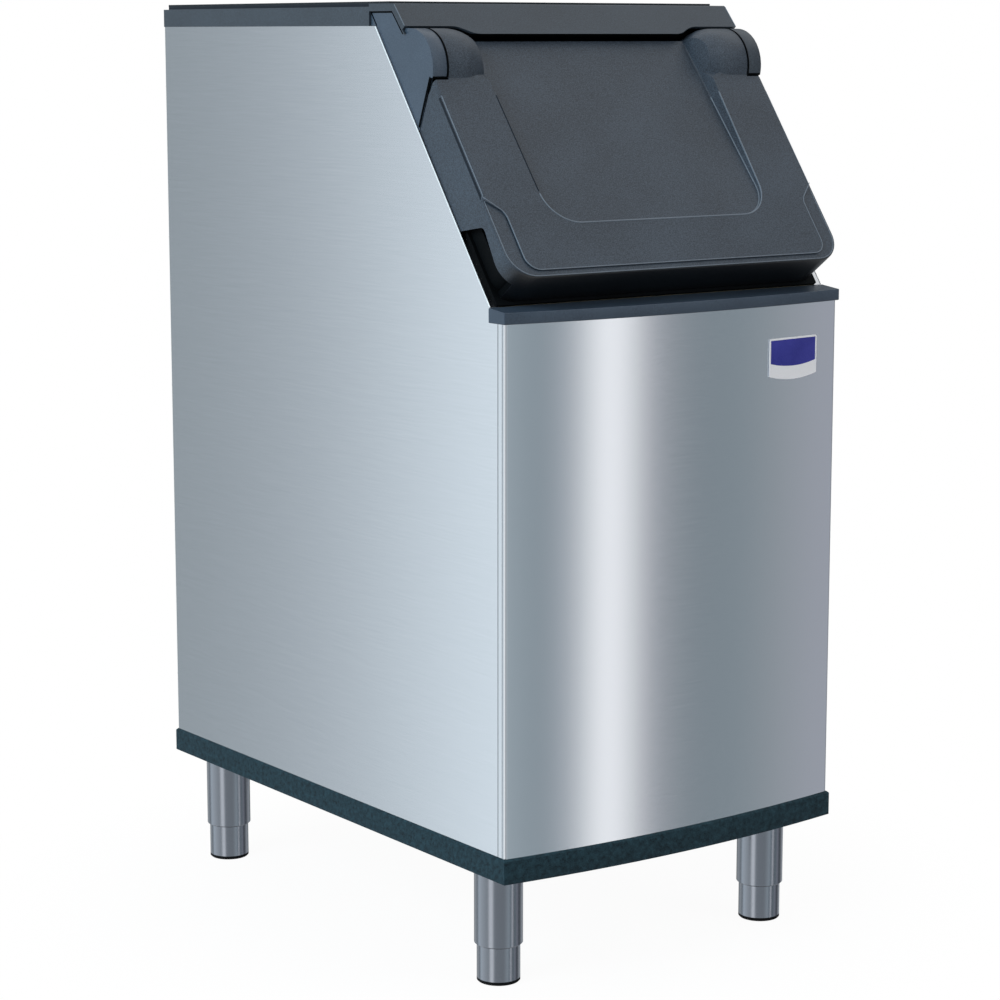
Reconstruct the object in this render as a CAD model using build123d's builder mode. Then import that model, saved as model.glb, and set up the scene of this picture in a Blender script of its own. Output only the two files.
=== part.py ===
# Ice storage bin: an insulated cabinet with a sloping lift-up door, on four adjustable legs.
# Units are millimetres. +Z is up, the front faces -Y, and +X is on the right of someone facing it.
# The origin lies on the floor under the middle of the whole bin.
import os
from math import cos, radians, sin, sqrt, tan

from build123d import *

os.makedirs("parts", exist_ok=True)

# Whole bin
overall_width = 558.8
overall_depth = 863.6
overall_height = 1270.0
front_bow = 20.0            # how far the middle of the front stands ahead of its corners
leg_height = 158.8          # floor to the underside of the base rail
overrun = 5.0               # how far a cutting shape runs past the piece it cuts
seat = 0.3                  # gap between pieces that seat on each other without touching

# Base rail, a hollow ring moulding that the steel stands on
rail_height = 33.0
rail_width = 26.0
rail_wall = 4.0
rail_bevel = 2.5
rail_rib = 3.0
rail_rib_pitch = 85.0

# Sheet steel skin
sheet = 1.2
panel_inset = 3.0           # the steel stands this far inside the rail's edge
panel_flange = 12.0         # turned-in edge round the side panels
front_return = 17.0         # how far the front panel wraps round its corners
return_gap = 1.2            # open joint between the front panel and the side panels
return_groove = 1.6
return_groove_depth = 0.8
front_corner_radius = 4.0
top_band = 24.8             # height of the dark band that caps the steel
band_step = 3.8             # rise from the band to the rim that carries the gasket
gasket_height = 2.8

# Slope and hinge
slope_angle = 53.7
hinge_setback = 210.0       # hinge axis behind the front corners
hinge_drop = 84.3           # hinge axis below the top of the bin
slope_drop = 31.0           # sloping edge of the steel below the hinge axis, square to the slope
door_rise = 32.0            # face of the door above the hinge axis, square to the slope

# Sill between the front panel and the door
sill_drop = 395.0           # underside of the sill below the top of the bin
sill_height = 15.0
sill_depth = 34.0
sill_rise = 3.8
sill_wall = 3.5

# Insulated tub
insulation = 36.0
liner_wall = 4.0
liner_radius = 36.0
floor_rise_front = 66.2     # floor of the tub above the rail, at its front and back
floor_rise_back = 54.2
front_insulation = 40.0
well_width = 96.0
well_length = 76.0
well_depth = 46.0
liner_slope_drop = 62.0     # sloping face of the tub below the hinge axis, square to the slope

# Door frame: a hollow rim round the access opening and the trough that the door's top rolls in
frame_wall = 3.0
frame_flange_inset = 12.4   # sides of the flange and the rim in from the bin's sides
frame_rim_inset = 17.4
frame_rim_out = -6.0        # top of the rim against the hinge axis, square to the slope
frame_rim_low = -322.0
frame_rim_high = -50.0
frame_radius = 22.0
access_margin = 36.0        # opening in from the sides of the rim
access_low = -296.0
access_high = -72.0
access_radius = 30.0
trough_radius = 52.0

# Door
door_inset = 5.4            # sides of the door in from the bin's sides
door_low = -335.0
door_wall = 4.0
door_corner_radius = 38.0
door_edge_radius = 6.0
door_gap = 0.6              # door flank above the sloping steel edge
door_clearance = 3.5        # sides of the door clear of the frame's rim
barrel_radius = 50.0
barrel_inset = 24.8         # ends of the barrels in from the sides of the door
barrel_length = 25.2        # full barrel, before it falls away towards the middle
shoulder_width = 42.4
bar_radius = 34.0           # round top edge of the door between the barrels
recess_inset = 93.0
recess_low = -260.0
recess_sink = 2.6           # depth of the recess at its lower edge
recess_tilt = 3.2
recess_radius = 46.0
recess_draft = 22.0
recess_floor_radius = 2.0
flare_width = 26.0          # the recess opens out at its top corners, under the barrels
flare_low = -60.0
flare_draft = 58.0
border_inset = 27.0         # raised middle of the lower face; outside it the face steps down
border_low = -326.0
border_top = -216.0
border_turn = -242.0
border_radius = 20.0
border_step = 2.4
notch_top = -227.0          # finger notch in the flanks, along the slope
notch_shoulder = -250.0
notch_out_top = 13.5
notch_out_low = 1.5
notch_radius = 10.0
notch_depth = 16.0
pan_wall = 3.0              # inner pan of the door
pan_top = -57.0
pan_neck_top = -36.0
plug_gap = 12.0             # plug inside the access opening
plug_gap_top = 8.0
plug_depth = 14.0
plug_radius = 24.0
seal_inset = 10.0           # door seal in from the edges of the frame's rim it lands on
seal_inset_low = 4.0
seal_inset_high = 8.0
seal_width = 16.0
seal_top_width = 12.0
seal_wall = 2.7

# Hinge
pin_diameter = 12.0
pin_clearance = 0.08
pin_reach = 43.2            # length of the pin inside the barrel
bush_wall = 3.0
bush_flange = 2.0
bush_flange_rim = 3.0
knuckle_gap = 0.8           # fixed knuckle clear of the barrel's end
knuckle_wall = 3.5
knuckle_foot = 12.0         # flat underside of the fixed knuckle below the hinge axis
cover_wall = 3.0
cover_tip = -75.0           # lower tip of the hinge cover, along the slope
cover_gap = 2.0
boss_wall = 5.0

# Header over the top of the door
header_inset = 1.8          # ends of the header in from the bin's sides
header_wall = 3.5
header_depth = 57.0         # from the header's front top edge to its back
header_front = 33.0         # front top edge behind the hinge axis
header_low_y = 8.0          # lower front edge over the hinges, behind the hinge axis
header_low_z = 52.8         # the same edge above the hinge axis
header_skirt = 13.0         # how much lower the edge hangs between the hinges
header_lip = 9.8            # turned-down edge at the ends
skirt_margin = 114.6        # where the lower edge begins to rise, in from the header's ends
skirt_turn = 42.0

# Ice deflector inside the access opening
deflector_wall = 3.0
deflector_out = -102.0
deflector_low = -150.0
deflector_high = -70.0
deflector_flange = 22.0
thumb_screw_head = 20.0
thumb_screw_head_height = 9.0
thumb_screw_lobes = 8

# Drain
drain_bore = 24.4
drain_outside = 34.0
drain_flange_wall = 4.0
drain_rise = 21.0           # drain axis above the bottom of the well
strainer_wall = 2.5
strainer_slot = 4.0
strainer_slot_length = 26.0
strainer_pitch = 9.0
strainer_slot_count = 9     # in each of the two rows

# Legs and feet
leg_side = 52.1             # leg axis in from the rail's sides
leg_front = 84.0            # leg axis behind the front corners
leg_back = 65.0             # leg axis ahead of the back
leg_diameter = 64.5
leg_skirt_bottom = 52.0
leg_cap = 8.0
sleeve_diameter = 57.5
sleeve_clearance = 0.3
sleeve_wall = 4.0
sleeve_plate = 9.0
pad_height = 5.0
pad_edge = 1.5
stud_diameter = 12.7
stud_clearance = 0.3
stud_bottom = 60.0
nut_height = 10.0
nut_across = 19.0
channel_width = 72.0
channel_wall = 3.0
channel_lip = 12.0

# Plain nameplate on the front panel
plate_side = 89.0           # middle of the nameplate in from the bin's right side
plate_drop = 68.7           # and below the sill
plate_width = 91.0
plate_height = 50.0
plate_bow = 5.6             # sag of its lower edge
plate_wall = 1.0
plate_radius = 3.0

# Screws
screw_head = 10.0
screw_head_height = 2.2
screw_end = 85.0            # end screws in from the back panel's top and bottom
screw_spacing = 215.0       # the least between two screws in a column
hexagon_side_count = 6

# Places worked out from the sizes above
tilt = radians(slope_angle)
sides = (-1, 1)
half_width = overall_width / 2
back_y = overall_depth / 2
corner_y = front_bow - overall_depth / 2
hinge_y = corner_y + hinge_setback
hinge_height = overall_height - hinge_drop
sill_bottom = overall_height - sill_drop
rail_top = leg_height + rail_height
header_top = overall_height - gasket_height
band_top = header_top - band_step
steel_top = band_top - top_band
floor_front = rail_top + floor_rise_front
floor_back = rail_top + floor_rise_back
panel_half = half_width - panel_inset
panel_back = back_y - panel_inset - sheet
liner_half = panel_half - insulation
liner_back = panel_back - insulation
liner_front = corner_y + front_insulation
liner_top_front = hinge_y + trough_radius + 2 * frame_wall
trough_outer = trough_radius + frame_wall
trough_end = header_front + header_wall
frame_flange_half = half_width - frame_flange_inset
frame_rim_half = half_width - frame_rim_inset
access_half = frame_rim_half - access_margin
door_half = half_width - door_inset
barrel_end = door_half - barrel_inset
trough_half = barrel_end + seat
shoulder_start = barrel_end - barrel_length
shoulder_end = shoulder_start - shoulder_width
recess_half = door_half - recess_inset
border_half = door_half - border_inset
notch_floor_half = door_half - notch_depth
plug_half = access_half - plug_gap
plug_low = access_low + plug_gap
plug_high = access_high - plug_gap_top
seal_half = frame_rim_half - seal_inset
seal_low = frame_rim_low + seal_inset_low
seal_high = frame_rim_high - seal_inset_high
pin_inner = barrel_end - pin_reach
knuckle_inner = barrel_end + knuckle_gap
cover_half = door_half
header_back = header_front + header_depth
cover_back = header_back
header_half = half_width - header_inset
skirt_half = header_half - skirt_margin
skirt_end = skirt_half + skirt_turn
plate_centre_x = half_width - plate_side
plate_centre_z = sill_bottom - plate_drop
slope_up = (0, cos(tilt), sin(tilt))
slope_out = (0, -sin(tilt), cos(tilt))
up_axis = Axis((0, hinge_y, hinge_height), slope_up)
out_axis = Axis((0, hinge_y, hinge_height), slope_out)
sleeve_top = leg_height - leg_cap - seat
leg_places = [
    ("front_left", corner_y + leg_front, leg_side - half_width),
    ("front_right", corner_y + leg_front, half_width - leg_side),
    ("rear_left", back_y - leg_back, leg_side - half_width),
    ("rear_right", back_y - leg_back, half_width - leg_side),
]


# Y and Z of a point given along the slope and square out from it, from the hinge axis
def slope_point(along, out):
    y = hinge_y + along * cos(tilt) - out * sin(tilt)
    z = hinge_height + along * sin(tilt) + out * cos(tilt)
    return (y, z)


# The same point as Y and Z from the hinge axis
def about_hinge(along, out):
    y, z = slope_point(along, out)
    return (y - hinge_y, z - hinge_height)


# How far along the slope a line parallel with it meets a given height
def along_at_height(out, z):
    return (z - hinge_height - out * cos(tilt)) / sin(tilt)


# How far along the slope a line parallel with it meets a given depth
def along_at_depth(out, y):
    return (y - hinge_y + out * sin(tilt)) / cos(tilt)


# Plane parallel with the door's face: X to the right, Y up the slope
def face_plane(out):
    y, z = slope_point(0, out)
    return Plane(origin=(0, y, z), x_dir=(1, 0, 0), z_dir=slope_out)


# Plane square to the hinge axis: X up the slope, Y square out from it
def section_plane(x):
    return Plane(origin=(x, hinge_y, hinge_height), x_dir=slope_up, z_dir=(1, 0, 0))


# Plane square to the hinge axis with its origin on it: X to the back, Y up
def hinge_plane(x):
    return Plane(origin=(x, hinge_y, hinge_height), x_dir=(0, 1, 0), z_dir=(1, 0, 0))


# How far the bowed front stands ahead of a chord of the given half width
def bow_over(half):
    return front_bow * (half / half_width) ** 2


# Plan outline with a bowed front, drawn in the sketch that is open
def bowed_outline(half, front, back, mode=Mode.ADD):
    with BuildLine() as outline:
        ThreePointArc((-half, front), (0, front - bow_over(half)), (half, front))
        Polyline((half, front), (half, back), (-half, back), (-half, front))
    make_face(outline.edges(), mode=mode)


# Rounded rectangle between two stations along the slope, drawn in the sketch that is open
def slope_window(half, low, high, radius, mode=Mode.ADD):
    with Locations((0, (low + high) / 2)):
        RectangleRounded(2 * half, high - low, radius, mode=mode)


# Write one finished piece under its own name
def keep(name, piece):
    piece.part.label = name
    export_step(piece.part, f"parts/{name}.step")


# Base rail: ring with a bevelled top edge, hollow underneath and ribbed
with BuildPart() as base_rail:
    with BuildSketch(Plane.XY.offset(leg_height)):
        bowed_outline(half_width, corner_y, back_y)
    extrude(amount=rail_height)
    chamfer(base_rail.faces().sort_by(Axis.Z)[-1].edges(), rail_bevel)
    with BuildSketch(Plane.XY.offset(leg_height - overrun)):
        bowed_outline(half_width - rail_width, corner_y + rail_width, back_y - rail_width)
    extrude(amount=rail_height + 2 * overrun, mode=Mode.SUBTRACT)
    with BuildSketch(Plane.XY.offset(leg_height)):
        bowed_outline(half_width - rail_wall, corner_y + rail_wall, back_y - rail_wall)
        inner = rail_width - rail_wall
        bowed_outline(half_width - inner, corner_y + inner, back_y - inner, mode=Mode.SUBTRACT)
    extrude(amount=rail_height - rail_wall, mode=Mode.SUBTRACT)
    rib_span = back_y - corner_y - 2 * rail_width
    rib_count = int(rib_span / rail_rib_pitch)
    rib_length = rail_width - 2 * rail_wall
    with BuildSketch(Plane.XY.offset(leg_height)):
        with Locations((0, (back_y + corner_y) / 2)):
            with GridLocations(2 * half_width - rail_width, rail_rib_pitch, 2, rib_count):
                Rectangle(rib_length, rail_rib)
        with Locations((0, back_y - rail_width / 2)):
            with GridLocations(rail_rib_pitch, rail_rib_pitch, int(2 * liner_half / rail_rib_pitch), 1):
                Rectangle(rail_rib, rib_length)
    extrude(amount=rail_height - rail_wall)
keep("base_rail", base_rail)


# Lipped steel channel across the base, drilled for two leg studs
def leg_channel(name, y):
    with BuildPart() as channel:
        span = half_width - rail_width - seat
        with BuildSketch(Plane.YZ.offset(-span)):
            with Locations((y, leg_height + rail_height / 2)):
                Rectangle(channel_width, rail_height)
            with Locations((y, leg_height + rail_height / 2)):
                inside_width = channel_width - 2 * channel_wall
                Rectangle(inside_width, rail_height - 2 * channel_wall, mode=Mode.SUBTRACT)
            with Locations((y, rail_top)):
                Rectangle(channel_width - 2 * channel_lip, 2 * channel_wall, mode=Mode.SUBTRACT)
        extrude(amount=2 * span)
        with BuildSketch(Plane.XY.offset(leg_height - overrun)):
            with Locations((leg_side - half_width, y), (half_width - leg_side, y)):
                Circle(stud_diameter / 2 + stud_clearance)
        extrude(amount=channel_wall + 2 * overrun, mode=Mode.SUBTRACT)
    keep(name, channel)


leg_channel("front_leg_channel", corner_y + leg_front)
leg_channel("rear_leg_channel", back_y - leg_back)

# Bottom panel: sheet that carries the foam, on the rail's top and the channels
with BuildPart() as bottom_panel:
    with BuildSketch(Plane.XY.offset(rail_top)):
        bowed_outline(
            panel_half - panel_flange - seat,
            corner_y + panel_inset + 2 * sheet + seat,
            panel_back - sheet - seat,
        )
    extrude(amount=sheet)
keep("bottom_panel", bottom_panel)


# Outline of the cabinet's side in Y and Z, drawn in the sketch that is open
def side_outline():
    joint_y = corner_y + front_return + return_gap
    sill_back = corner_y + sill_depth
    slope_foot = slope_point(along_at_depth(-slope_drop, sill_back), -slope_drop)
    slope_head = slope_point(along_at_height(-slope_drop, steel_top), -slope_drop)
    with BuildLine() as outline:
        Polyline(
            (joint_y, rail_top),
            (joint_y, sill_bottom),
            (sill_back, sill_bottom),
            slope_foot,
            slope_head,
            (panel_back, steel_top),
            (panel_back, rail_top),
            (joint_y, rail_top),
        )
    make_face(outline.edges())


# Side panel: a shallow steel pan with its edges turned in
def side_panel(name, side):
    with BuildPart() as panel:
        with BuildSketch(Plane.YZ.offset(side * panel_half)):
            side_outline()
        extrude(amount=-side * panel_flange)
        with BuildSketch(Plane.YZ.offset(side * (panel_half - sheet))):
            side_outline()
            offset(amount=-sheet, kind=Kind.INTERSECTION, mode=Mode.REPLACE)
        extrude(amount=-side * panel_flange, mode=Mode.SUBTRACT)
    keep(name, panel)


side_panel("left_side_panel", -1)
side_panel("right_side_panel", 1)

# Front panel: bowed steel sheet wrapped round both corners, with a turned-in top edge
with BuildPart() as front_panel:
    front_edge = corner_y + panel_inset
    return_end = corner_y + front_return
    with BuildSketch(Plane.XY.offset(rail_top)) as front_plan:
        bowed_outline(panel_half, front_edge, return_end)
        fillet(front_plan.vertices().group_by(Axis.Y)[0], front_corner_radius)
    extrude(amount=sill_bottom - rail_top)
    with BuildSketch(Plane.XY.offset(rail_top - overrun)) as front_inside:
        bowed_outline(panel_half - sheet, front_edge + sheet, return_end + overrun)
        fillet(front_inside.vertices().group_by(Axis.Y)[0], front_corner_radius - sheet)
    extrude(amount=sill_bottom - rail_top - sheet + overrun, mode=Mode.SUBTRACT)
    with BuildSketch(Plane.XY.offset(sill_bottom - sheet - overrun)):
        bowed_outline(panel_half - panel_flange, front_edge + panel_flange, return_end + overrun)
    extrude(amount=sheet + 2 * overrun, mode=Mode.SUBTRACT)
    with BuildSketch(Plane.XY.offset(rail_top - overrun)):
        groove_y = corner_y + front_return / 2
        with Locations((-panel_half, groove_y), (panel_half, groove_y)):
            Rectangle(2 * return_groove_depth, return_groove)
    extrude(amount=sill_bottom - rail_top + 2 * overrun, mode=Mode.SUBTRACT)
keep("front_panel", front_panel)

# Back panel: flat galvanised sheet with a hole for the drain
drain_z = floor_back - well_depth + drain_rise
back_screw_x = panel_half - panel_flange / 2
back_screw_run = steel_top - rail_top - 2 * screw_end
back_screw_steps = int(back_screw_run / screw_spacing)
with BuildPart() as back_panel:
    with BuildSketch(Plane.XZ.offset(-panel_back)):
        with Locations((0, (rail_top + steel_top) / 2)):
            Rectangle(2 * (panel_half - seat), steel_top - rail_top)
        with Locations((0, drain_z)):
            Circle(drain_outside / 2 + seat, mode=Mode.SUBTRACT)
    extrude(amount=-sheet)
keep("back_panel", back_panel)

# Screws that hold the back panel to the side panels' flanges
with BuildPart() as back_screws:
    with BuildSketch(Plane.XZ.offset(-panel_back - sheet)):
        with Locations((0, (rail_top + steel_top) / 2)):
            with GridLocations(2 * back_screw_x, back_screw_run / back_screw_steps, 2, back_screw_steps + 1):
                RegularPolygon(screw_head / 2, hexagon_side_count)
    extrude(amount=-screw_head_height)
keep("back_panel_screws", back_screws)


# Outline of the tub in Y and Z, drawn in the sketch that is open
def liner_outline():
    top = steel_top + liner_radius + overrun
    with BuildLine() as outline:
        Polyline(
            (liner_back, floor_back - liner_wall),
            (liner_back, top),
            (liner_top_front, top),
            slope_point(along_at_depth(-liner_slope_drop, liner_top_front), -liner_slope_drop),
            slope_point(along_at_depth(-liner_slope_drop, liner_front), -liner_slope_drop),
            (liner_front, floor_front - liner_wall),
            (liner_back, floor_back - liner_wall),
        )
    make_face(outline.edges())


# The tub's outer block, or its inner one when it is drawn in by the wall
def liner_block(draw_in):
    with BuildPart() as block:
        with BuildSketch(Plane.YZ.offset(draw_in - liner_half)):
            liner_outline()
            if draw_in > 0:
                offset(amount=-draw_in, kind=Kind.INTERSECTION, mode=Mode.REPLACE)
        extrude(amount=2 * (liner_half - draw_in))
        side_edges = block.edges().filter_by(Axis.X, reverse=True)
        fillet(side_edges, liner_radius - draw_in)
        with BuildSketch(Plane.XY.offset(steel_top)):
            Rectangle(2 * overall_width, 2 * overall_depth)
        extrude(amount=2 * (liner_radius + overrun), mode=Mode.SUBTRACT)
    return block.part


# Well for the drain, as deep and wide as asked
def well_block(grow):
    with BuildPart() as block:
        well_y = liner_back - liner_wall - well_length / 2
        with BuildSketch(Plane.XY.offset(floor_back - well_depth - grow)):
            with Locations((0, well_y)):
                Rectangle(well_width + 2 * grow, well_length + 2 * grow)
        extrude(amount=well_depth + grow)
    return block.part


liner_outer = liner_block(0)
liner_inner = liner_block(liner_wall)
well_outer = well_block(liner_wall)
well_inner = well_block(0)

# Liner: one-piece tub with rounded corners, a sloping floor and the drain well
with BuildPart() as liner:
    add(liner_outer)
    add(well_outer)
    add(liner_inner, mode=Mode.SUBTRACT)
    add(well_inner, mode=Mode.SUBTRACT)
    with BuildSketch(face_plane(-liner_slope_drop - liner_radius)):
        slope_window(access_half, access_low, access_high, access_radius)
    extrude(amount=liner_radius + overrun, mode=Mode.SUBTRACT)
    with BuildSketch(Plane.XZ.offset(overrun - liner_back)):
        with Locations((0, drain_z)):
            Circle(drain_outside / 2 + seat)
    extrude(amount=-liner_wall - 2 * overrun, mode=Mode.SUBTRACT)
keep("liner", liner)

# Foam insulation that fills the walls between the steel and the liner
with BuildPart() as foam:
    with BuildSketch(Plane.XY.offset(rail_top + sheet)):
        core_half = panel_half - panel_flange - seat
        core_front = corner_y + panel_inset + sheet
        flank_front = corner_y + front_return + return_gap + sheet + seat
        bowed_outline(core_half, core_front, panel_back)
        with Locations((0, (flank_front + panel_back) / 2)):
            Rectangle(2 * (panel_half - sheet), panel_back - flank_front)
    extrude(amount=steel_top - rail_top)
    with BuildSketch(Plane.YZ.offset(-half_width)):
        side_outline()
        with Locations((corner_y, (rail_top + sill_bottom) / 2)):
            Rectangle(4 * front_bow, sill_bottom - rail_top)
        offset(amount=-sheet - seat, kind=Kind.INTERSECTION, mode=Mode.REPLACE)
    extrude(amount=overall_width, mode=Mode.INTERSECT)
    add(liner_outer, mode=Mode.SUBTRACT)
    add(well_outer, mode=Mode.SUBTRACT)
    with BuildSketch(Plane.XZ.offset(-liner_back + well_length)):
        with Locations((0, drain_z)):
            Circle(drain_outside / 2 + seat)
    extrude(amount=-insulation - well_length - overrun, mode=Mode.SUBTRACT)
    with BuildSketch(face_plane(-liner_slope_drop - overrun)):
        slope_window(access_half + frame_wall + seat, access_low - frame_wall - seat,
                     frame_rim_high + trough_outer, access_radius + frame_wall)
    extrude(amount=liner_slope_drop, mode=Mode.SUBTRACT)
    with BuildSketch(section_plane(-half_width)):
        Circle(trough_outer + seat)
    extrude(amount=overall_width, mode=Mode.SUBTRACT)
keep("foam_insulation", foam)

# Top trim: moulded ring that caps the steel and the tub, with a raised rim for the gasket
trim_half = panel_half + sheet
trim_front = liner_top_front - sheet
opening_half = liner_half - liner_wall
opening_front = liner_top_front + liner_wall
opening_back = liner_back - liner_wall
rim_inset = 8.0             # rim in from the band's sides
rim_back_inset = 0.8        # and from its back
with BuildPart() as top_trim:
    with BuildSketch(Plane.XY.offset(steel_top)):
        with Locations((0, (hinge_y + header_back + back_y - panel_inset) / 2)):
            Rectangle(2 * trim_half, back_y - panel_inset - hinge_y - header_back)
        with Locations((0, (trim_front + back_y - panel_inset) / 2)):
            Rectangle(2 * (cover_half - cover_wall - seat), back_y - panel_inset - trim_front)
    extrude(amount=top_band - seat)
    with BuildSketch(Plane.XY.offset(steel_top)):
        rim_front = hinge_y + header_back + seat
        rim_back = back_y - panel_inset - rim_back_inset
        with Locations((0, (rim_front + rim_back) / 2)):
            Rectangle(2 * (trim_half - rim_inset), rim_back - rim_front)
    extrude(amount=top_band + band_step)
    with BuildSketch(Plane.XY.offset(steel_top - overrun)):
        with Locations((0, (opening_front + opening_back) / 2)):
            RectangleRounded(2 * opening_half, opening_back - opening_front, liner_radius - liner_wall)
    extrude(amount=top_band + band_step + 2 * overrun, mode=Mode.SUBTRACT)
keep("top_trim", top_trim)

# Top gasket: thin foam strip that an ice machine beds on
with BuildPart() as top_gasket:
    gasket_front = hinge_y + trough_outer
    gasket_half = trim_half - rim_inset
    with BuildSketch(Plane.XY.offset(header_top)):
        with Locations((0, (gasket_front + rim_back) / 2)):
            Rectangle(2 * gasket_half, rim_back - gasket_front)
        with Locations((0, (opening_front + opening_back) / 2)):
            RectangleRounded(2 * opening_half, opening_back - opening_front,
                             liner_radius - liner_wall, mode=Mode.SUBTRACT)
    extrude(amount=gasket_height)
keep("top_gasket", top_gasket)

# Sill: bowed cap moulding over the front panel, hollow underneath
with BuildPart() as sill:
    sill_front_top = sill_bottom + sill_height
    with BuildSketch(Plane.XY.offset(sill_bottom)):
        bowed_outline(half_width, corner_y, corner_y + sill_depth)
    extrude(amount=sill_height + sill_rise)
    with BuildSketch(Plane.YZ.offset(-half_width - overrun)):
        with BuildLine():
            Polyline(
                (corner_y - 2 * front_bow, sill_front_top),
                (corner_y, sill_front_top),
                (corner_y + sill_depth, sill_front_top + sill_rise),
                (corner_y + sill_depth + overrun, sill_front_top + 2 * sill_rise),
                (corner_y - 2 * front_bow, sill_front_top + 2 * sill_rise),
                (corner_y - 2 * front_bow, sill_front_top),
            )
        make_face()
    extrude(amount=overall_width + 2 * overrun, mode=Mode.SUBTRACT)
    with BuildSketch(Plane.XY.offset(sill_bottom - overrun)):
        bowed_outline(
            panel_half - panel_flange - seat,
            corner_y + panel_inset + panel_flange,
            corner_y + sill_depth - sill_wall,
        )
    extrude(amount=sill_height - sill_wall + overrun, mode=Mode.SUBTRACT)
keep("sill", sill)

# Door frame: hollow rim round the access opening, a skirt down to the tub and the rolling trough
frame_foot = along_at_depth(-slope_drop, corner_y + sill_depth + seat)
with BuildPart() as door_frame:
    with BuildSketch(face_plane(-slope_drop)):
        slope_window(frame_flange_half, frame_foot, frame_rim_high - seat, frame_wall)
    extrude(amount=frame_wall)
    with BuildSketch(face_plane(-slope_drop)):
        slope_window(frame_rim_half, frame_rim_low, 0, frame_radius)
    extrude(amount=slope_drop + frame_rim_out)
    with BuildSketch(face_plane(seat - liner_slope_drop)):
        slope_window(access_half + frame_wall, access_low - frame_wall,
                     access_high + frame_wall, access_radius + frame_wall)
    extrude(amount=liner_slope_drop - slope_drop - seat)
    with BuildSketch(face_plane(-slope_drop - overrun)):
        slope_window(frame_rim_half - frame_wall, frame_rim_low + frame_wall,
                     frame_rim_high, frame_radius - frame_wall)
        slope_window(access_half + frame_wall, access_low - frame_wall,
                     access_high + frame_wall, access_radius + frame_wall, mode=Mode.SUBTRACT)
    extrude(amount=slope_drop + frame_rim_out - frame_wall + overrun, mode=Mode.SUBTRACT)
    with BuildSketch(hinge_plane(-trough_half)):
        Circle(trough_outer)
        rim_back = (trough_end + frame_rim_out * sin(tilt)) / cos(tilt)
        with BuildLine():
            Polyline(
                about_hinge(-2 * trough_outer, frame_rim_out),
                about_hinge(rim_back, frame_rim_out),
                (trough_end, 2 * trough_outer),
                (-2 * trough_outer, 2 * trough_outer),
                about_hinge(-2 * trough_outer, frame_rim_out),
            )
        make_face(mode=Mode.SUBTRACT)
    extrude(amount=2 * trough_half)
    with BuildSketch(hinge_plane(-trough_half)):
        wall_foot = sqrt(trough_radius ** 2 - trough_end ** 2)
        wall_head = header_top - header_wall - seat - hinge_height
        with Locations((trough_end + frame_wall / 2, (wall_foot + wall_head) / 2)):
            Rectangle(frame_wall, wall_head - wall_foot)
    extrude(amount=2 * trough_half)
    with BuildSketch(section_plane(-half_width)):
        Circle(trough_radius)
    extrude(amount=overall_width, mode=Mode.SUBTRACT)
    with BuildSketch(face_plane(-liner_slope_drop - overrun)):
        slope_window(access_half, access_low, access_high, access_radius)
    extrude(amount=liner_slope_drop + 2 * overrun, mode=Mode.SUBTRACT)
keep("door_frame", door_frame)


# Run, slope and skin of the header's front face, in Y and Z from the hinge axis
head_z = header_top - hinge_height
face_run = sqrt((header_front - header_low_y) ** 2 + (head_z - header_low_z) ** 2)
face_y = (header_low_y - header_front) / face_run
face_z = (header_low_z - head_z) / face_run


# Point on the header's front face, measured up from its lower edge and in from its skin
def header_point(up, depth):
    y = header_low_y - up * face_y - depth * face_z
    z = header_low_z - up * face_z + depth * face_y
    return (y, z)


# How far up the header's face a given depth under its skin meets a given height
def header_up(depth, z):
    return (header_low_z + depth * face_y - z) / face_z


# Outline of the hinge cover about the hinge axis, in Y and Z
def cover_outline():
    under = header_wall + 2 * seat
    ceiling = head_z - header_wall - seat
    slope_out_cover = seat - slope_drop
    head = about_hinge(along_at_height(slope_out_cover, steel_top + seat), slope_out_cover)
    tip = about_hinge(cover_tip, slope_out_cover)
    neck = about_hinge(-sqrt(barrel_radius ** 2 - door_rise ** 2) + cover_gap, door_rise - cover_gap)
    toe_y = -sqrt(barrel_radius ** 2 - knuckle_foot ** 2)
    with BuildLine() as outline:
        Polyline(
            header_point(0, under),
            header_point(header_up(under, ceiling), under),
            (cover_back - seat, ceiling),
            (cover_back - seat, steel_top + seat - hinge_height),
            head,
            tip,
            (neck[0], -knuckle_foot),
            (toe_y, -knuckle_foot),
        )
        RadiusArc((toe_y, -knuckle_foot), (0, barrel_radius), barrel_radius)
        Line((0, barrel_radius), header_point(0, under))
    make_face(outline.edges())


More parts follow.
